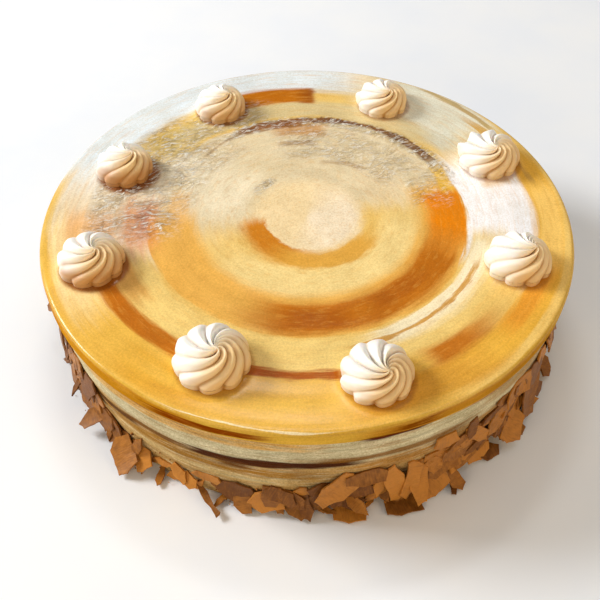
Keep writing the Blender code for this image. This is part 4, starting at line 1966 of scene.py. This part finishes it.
@dataclass
class Crumbs:
    """Crumbs of chocolate caught between the flakes and fallen round the foot.

    Attributes:
        name: the piece's name.
        count: number of crumbs.
        small: radius of the smallest, metres.
        large: radius of the largest, metres.
        high: how far up the wall they reach, metres.
        spread: how far from the foot they lie, metres.
        seed: start of the random draws.
    """
    name: str = "chocolate_crumbs"
    count: int = 300
    small: float = 0.22 * MM
    large: float = 1.1 * MM
    high: float = 16 * MM
    spread: float = 8 * MM
    seed: int = 4

    def tree(self) -> Maker:
        """The scatter as a Geometry Nodes tree.

        Returns:
            The tree, with inputs for the crumbs' number and sizes.
        """
        make = Maker.new("crumb_scatter")
        count, seed = make.ask("Count", "Int"), make.ask("Seed", "Int")
        small, large = make.ask("Smallest"), make.ask("Largest")
        high, spread = make.ask("Height"), make.ask("Spread")
        material = make.ask("Chocolate", "Material")
        turn = self.draw(make, 0.0, math.tau, seed, 1)
        tall = self.draw(make, 0.0, 1.0, seed, 2) ** 2.2
        out = self.draw(make, 0.0, 1.0, seed, 3) ** 1.5
        rise = tall * high
        flat = rise * ((TOP_RADIUS - GLAZE_LIP - FOOT_RADIUS) / HEIGHT) + FOOT_RADIUS + self.small
        flat = flat + out * spread * (1 - tall) ** 6.0
        size = self.draw(make, 0.0, 1.0, seed, 5) ** 2.0 * (large - small) + small
        grounded = make.vector(flat * turn.to("COSINE"), flat * turn.to("SINE"), rise + size * 1.3)
        dots = make.node("GeometryNodePoints", None,
                         {"Count": count, "Position": grounded, "Radius": self.small})
        stone = make.node("GeometryNodeMeshIcoSphere", None, {"Radius": 1.0, "Subdivisions": 2})
        dent = make.node("ShaderNodeTexNoise", None, {"Scale": 1.1, "Detail": 1.0})
        push = make.node("ShaderNodeVectorMath", {"operation": "SUBTRACT"},
                         {0: dent.outputs["Color"], 1: (0.5, 0.5, 0.5)})
        lump = make.node("GeometryNodeSetPosition", None,
                         {"Geometry": stone.outputs[0], "Offset": push.outputs[0]})
        spin = make.node("FunctionNodeRandomValue", {"data_type": "FLOAT_VECTOR"},
                         {0: (0.0, 0.0, 0.0), 1: (math.tau, math.tau, math.tau), "Seed": seed})
        sown = make.node("GeometryNodeInstanceOnPoints", None, {
            "Points": dots.outputs[0], "Instance": lump.outputs[0], "Rotation": spin.outputs[0],
            "Scale": size,
        })
        make.close(sown.outputs[0], material)
        return make

    @staticmethod
    def draw(make: Maker, low: float, high: float, seed: Value, offset: int) -> Value:
        """A random number for each crumb."""
        node = make.node("FunctionNodeRandomValue", {"data_type": "FLOAT"},
                         {2: low, 3: high, "Seed": seed + offset})
        return make.value(node, 1)

    def dress(self, material: bpy.types.Material) -> None:
        """Scatter the crumbs and hand them over."""
        piece = self.tree().run(self.name, {
            "Count": self.count, "Seed": self.seed, "Smallest": self.small, "Largest": self.large,
            "Height": self.high, "Spread": self.spread, "Chocolate": material,
        })
        hand_over(piece, None)


# --------------------------------------------------------------------------------------------------
# Studio
# --------------------------------------------------------------------------------------------------


@dataclass(frozen=True)
class Softbox:
    """A rectangular light that faces the cake.

    Attributes:
        name: the light's name.
        azimuth: direction it stands in, degrees, as angles round the cake.
        elevation: degrees over the table.
        distance: metres from the cake.
        width: metres.
        height: metres.
        power: watts.
        colour: its light.
    """
    name: str
    azimuth: float
    elevation: float
    distance: float
    width: float
    height: float
    power: float
    colour: Colour


@dataclass
class Studio:
    """Pale floor, soft light and the camera.

    Attributes:
        distance_back: metres from the axis to the camera, level.
        camera_height: metres over the table.
        pitch: how far the camera looks down, radians.
        yaw: how far it looks to the right, radians.
        roll: how far it leans, radians.
        lens: focal length, mm.
        sensor: width of the sensor, mm.
        target: what the softboxes face.
        softboxes: the lights.
        room: colour of the faint light all round.
        room_strength: its strength.
        floor_half: half the floor's width, metres.
        floor_dark: the floor's darker colour.
        floor_light: its lighter colour.
    """
    distance_back: float = 329.23 * MM
    camera_height: float = 358.85 * MM
    pitch: float = math.radians(46.978)
    yaw: float = math.radians(-0.578)
    roll: float = math.radians(-0.243)
    lens: float = 54.81
    sensor: float = 36.0
    target: Vector = field(default_factory=lambda: Vector((0.0, 0.0, 0.05)))
    room: Colour = (1.0, 0.985, 0.96)
    room_strength: float = 0.17
    floor_half: float = 3.0
    floor_dark: Colour = srgb(240, 246, 255)
    floor_light: Colour = srgb(246, 250, 255)
    softboxes: tuple[Softbox, ...] = (
        Softbox("key", 166, 32, 2.2, 0.80, 0.68, 46.0, (1.0, 0.99, 0.97)),
        Softbox("glints", 98, 66, 1.1, 0.26, 0.12, 1.5, (1.0, 0.99, 0.97)),
        Softbox("overhead", 20, 78, 2.2, 1.4, 1.4, 5.4, (1.0, 0.99, 0.98)),
        Softbox("front_fill", -118, 22, 2.2, 1.8, 0.7, 15.4, (1.0, 0.80, 0.54)),
        Softbox("warm_side", -28, 24, 2.2, 1.6, 0.7, 14.0, (1.0, 0.75, 0.46)),
    )

    def camera(self) -> None:
        """Set the camera up."""
        flat = math.cos(self.pitch)
        forward = Vector((math.sin(self.yaw) * flat, math.cos(self.yaw) * flat, -math.sin(self.pitch)))
        level = Vector((math.cos(self.yaw), -math.sin(self.yaw), 0.0))
        upright = level.cross(forward)
        right = level * math.cos(self.roll) + upright * math.sin(self.roll)
        up = upright * math.cos(self.roll) - level * math.sin(self.roll)
        data = bpy.data.cameras.new("camera")
        data.lens, data.sensor_width = self.lens, self.sensor
        data.clip_start, data.clip_end = 0.01, 20.0
        camera = bpy.data.objects.new("camera", data)
        matrix = Matrix((right, up, -forward)).transposed().to_4x4()
        matrix.translation = Vector((0.0, -self.distance_back, self.camera_height))
        camera.matrix_world = matrix
        bpy.context.scene.collection.objects.link(camera)
        bpy.context.scene.camera = camera

    def lights(self) -> None:
        """Hang the softboxes and fill the room with faint light."""
        for box in self.softboxes:
            data = bpy.data.lights.new(box.name, "AREA")
            data.shape = "RECTANGLE"
            data.size, data.size_y = box.width, box.height
            data.energy = box.power
            data.color = box.colour
            lamp = bpy.data.objects.new(box.name, data)
            turn, rise = math.radians(box.azimuth), math.radians(box.elevation)
            way = Vector((math.cos(turn) * math.cos(rise), math.sin(turn) * math.cos(rise), math.sin(rise)))
            lamp.location = self.target + way * box.distance
            lamp.rotation_euler = (-way).to_track_quat("-Z", "Y").to_euler()
            bpy.context.scene.collection.objects.link(lamp)
        world = bpy.data.worlds.new("studio")
        world.use_nodes = True
        ground = world.node_tree.nodes["Background"]
        ground.inputs["Color"].default_value = (*self.room, 1.0)
        ground.inputs["Strength"].default_value = self.room_strength
        bpy.context.scene.world = world
        bpy.context.scene.view_settings.view_transform = "Standard"

    def floor(self) -> None:
        """Lay a pale floor."""
        finish = Finish.new("pale_floor", Roughness=0.6)
        x, y, z = finish.place()
        mottle = finish.noise(finish.vector(x, y, z), 0.02, 3.0, 0.5)
        colour = finish.mix(mottle.step(0.2, 0.8), self.floor_dark, self.floor_light)
        finish.feed("Base Color", colour)
        half = self.floor_half
        corners = [(-half, -half, 0), (half, -half, 0), (half, half, 0), (-half, half, 0)]
        mesh = bpy.data.meshes.new("floor")
        mesh.from_pydata(corners, [], [(0, 1, 2, 3)])
        add_piece("floor", mesh, finish.material)

    def build(self) -> None:
        """Build the studio."""
        self.camera()
        self.lights()
        self.floor()


def main() -> None:
    """Dress the cake."""
    logging.basicConfig(level=logging.INFO, format="%(message)s")
    Studio().build()
    CakeBody().dress(SIDE_MARBLING.material())
    GlazeCoat(rosettes=ROSETTES).dress(TOP_MARBLING.material(tuple(rosette.pool for rosette in ROSETTES)))
    RosettePiping().dress(CreamFinish().material())
    FlakeCollar().dress(ChocolateFinish().material())
    Crumbs().dress(ChocolateFinish().material(plain=True))


if __name__ == "__main__":
    main()
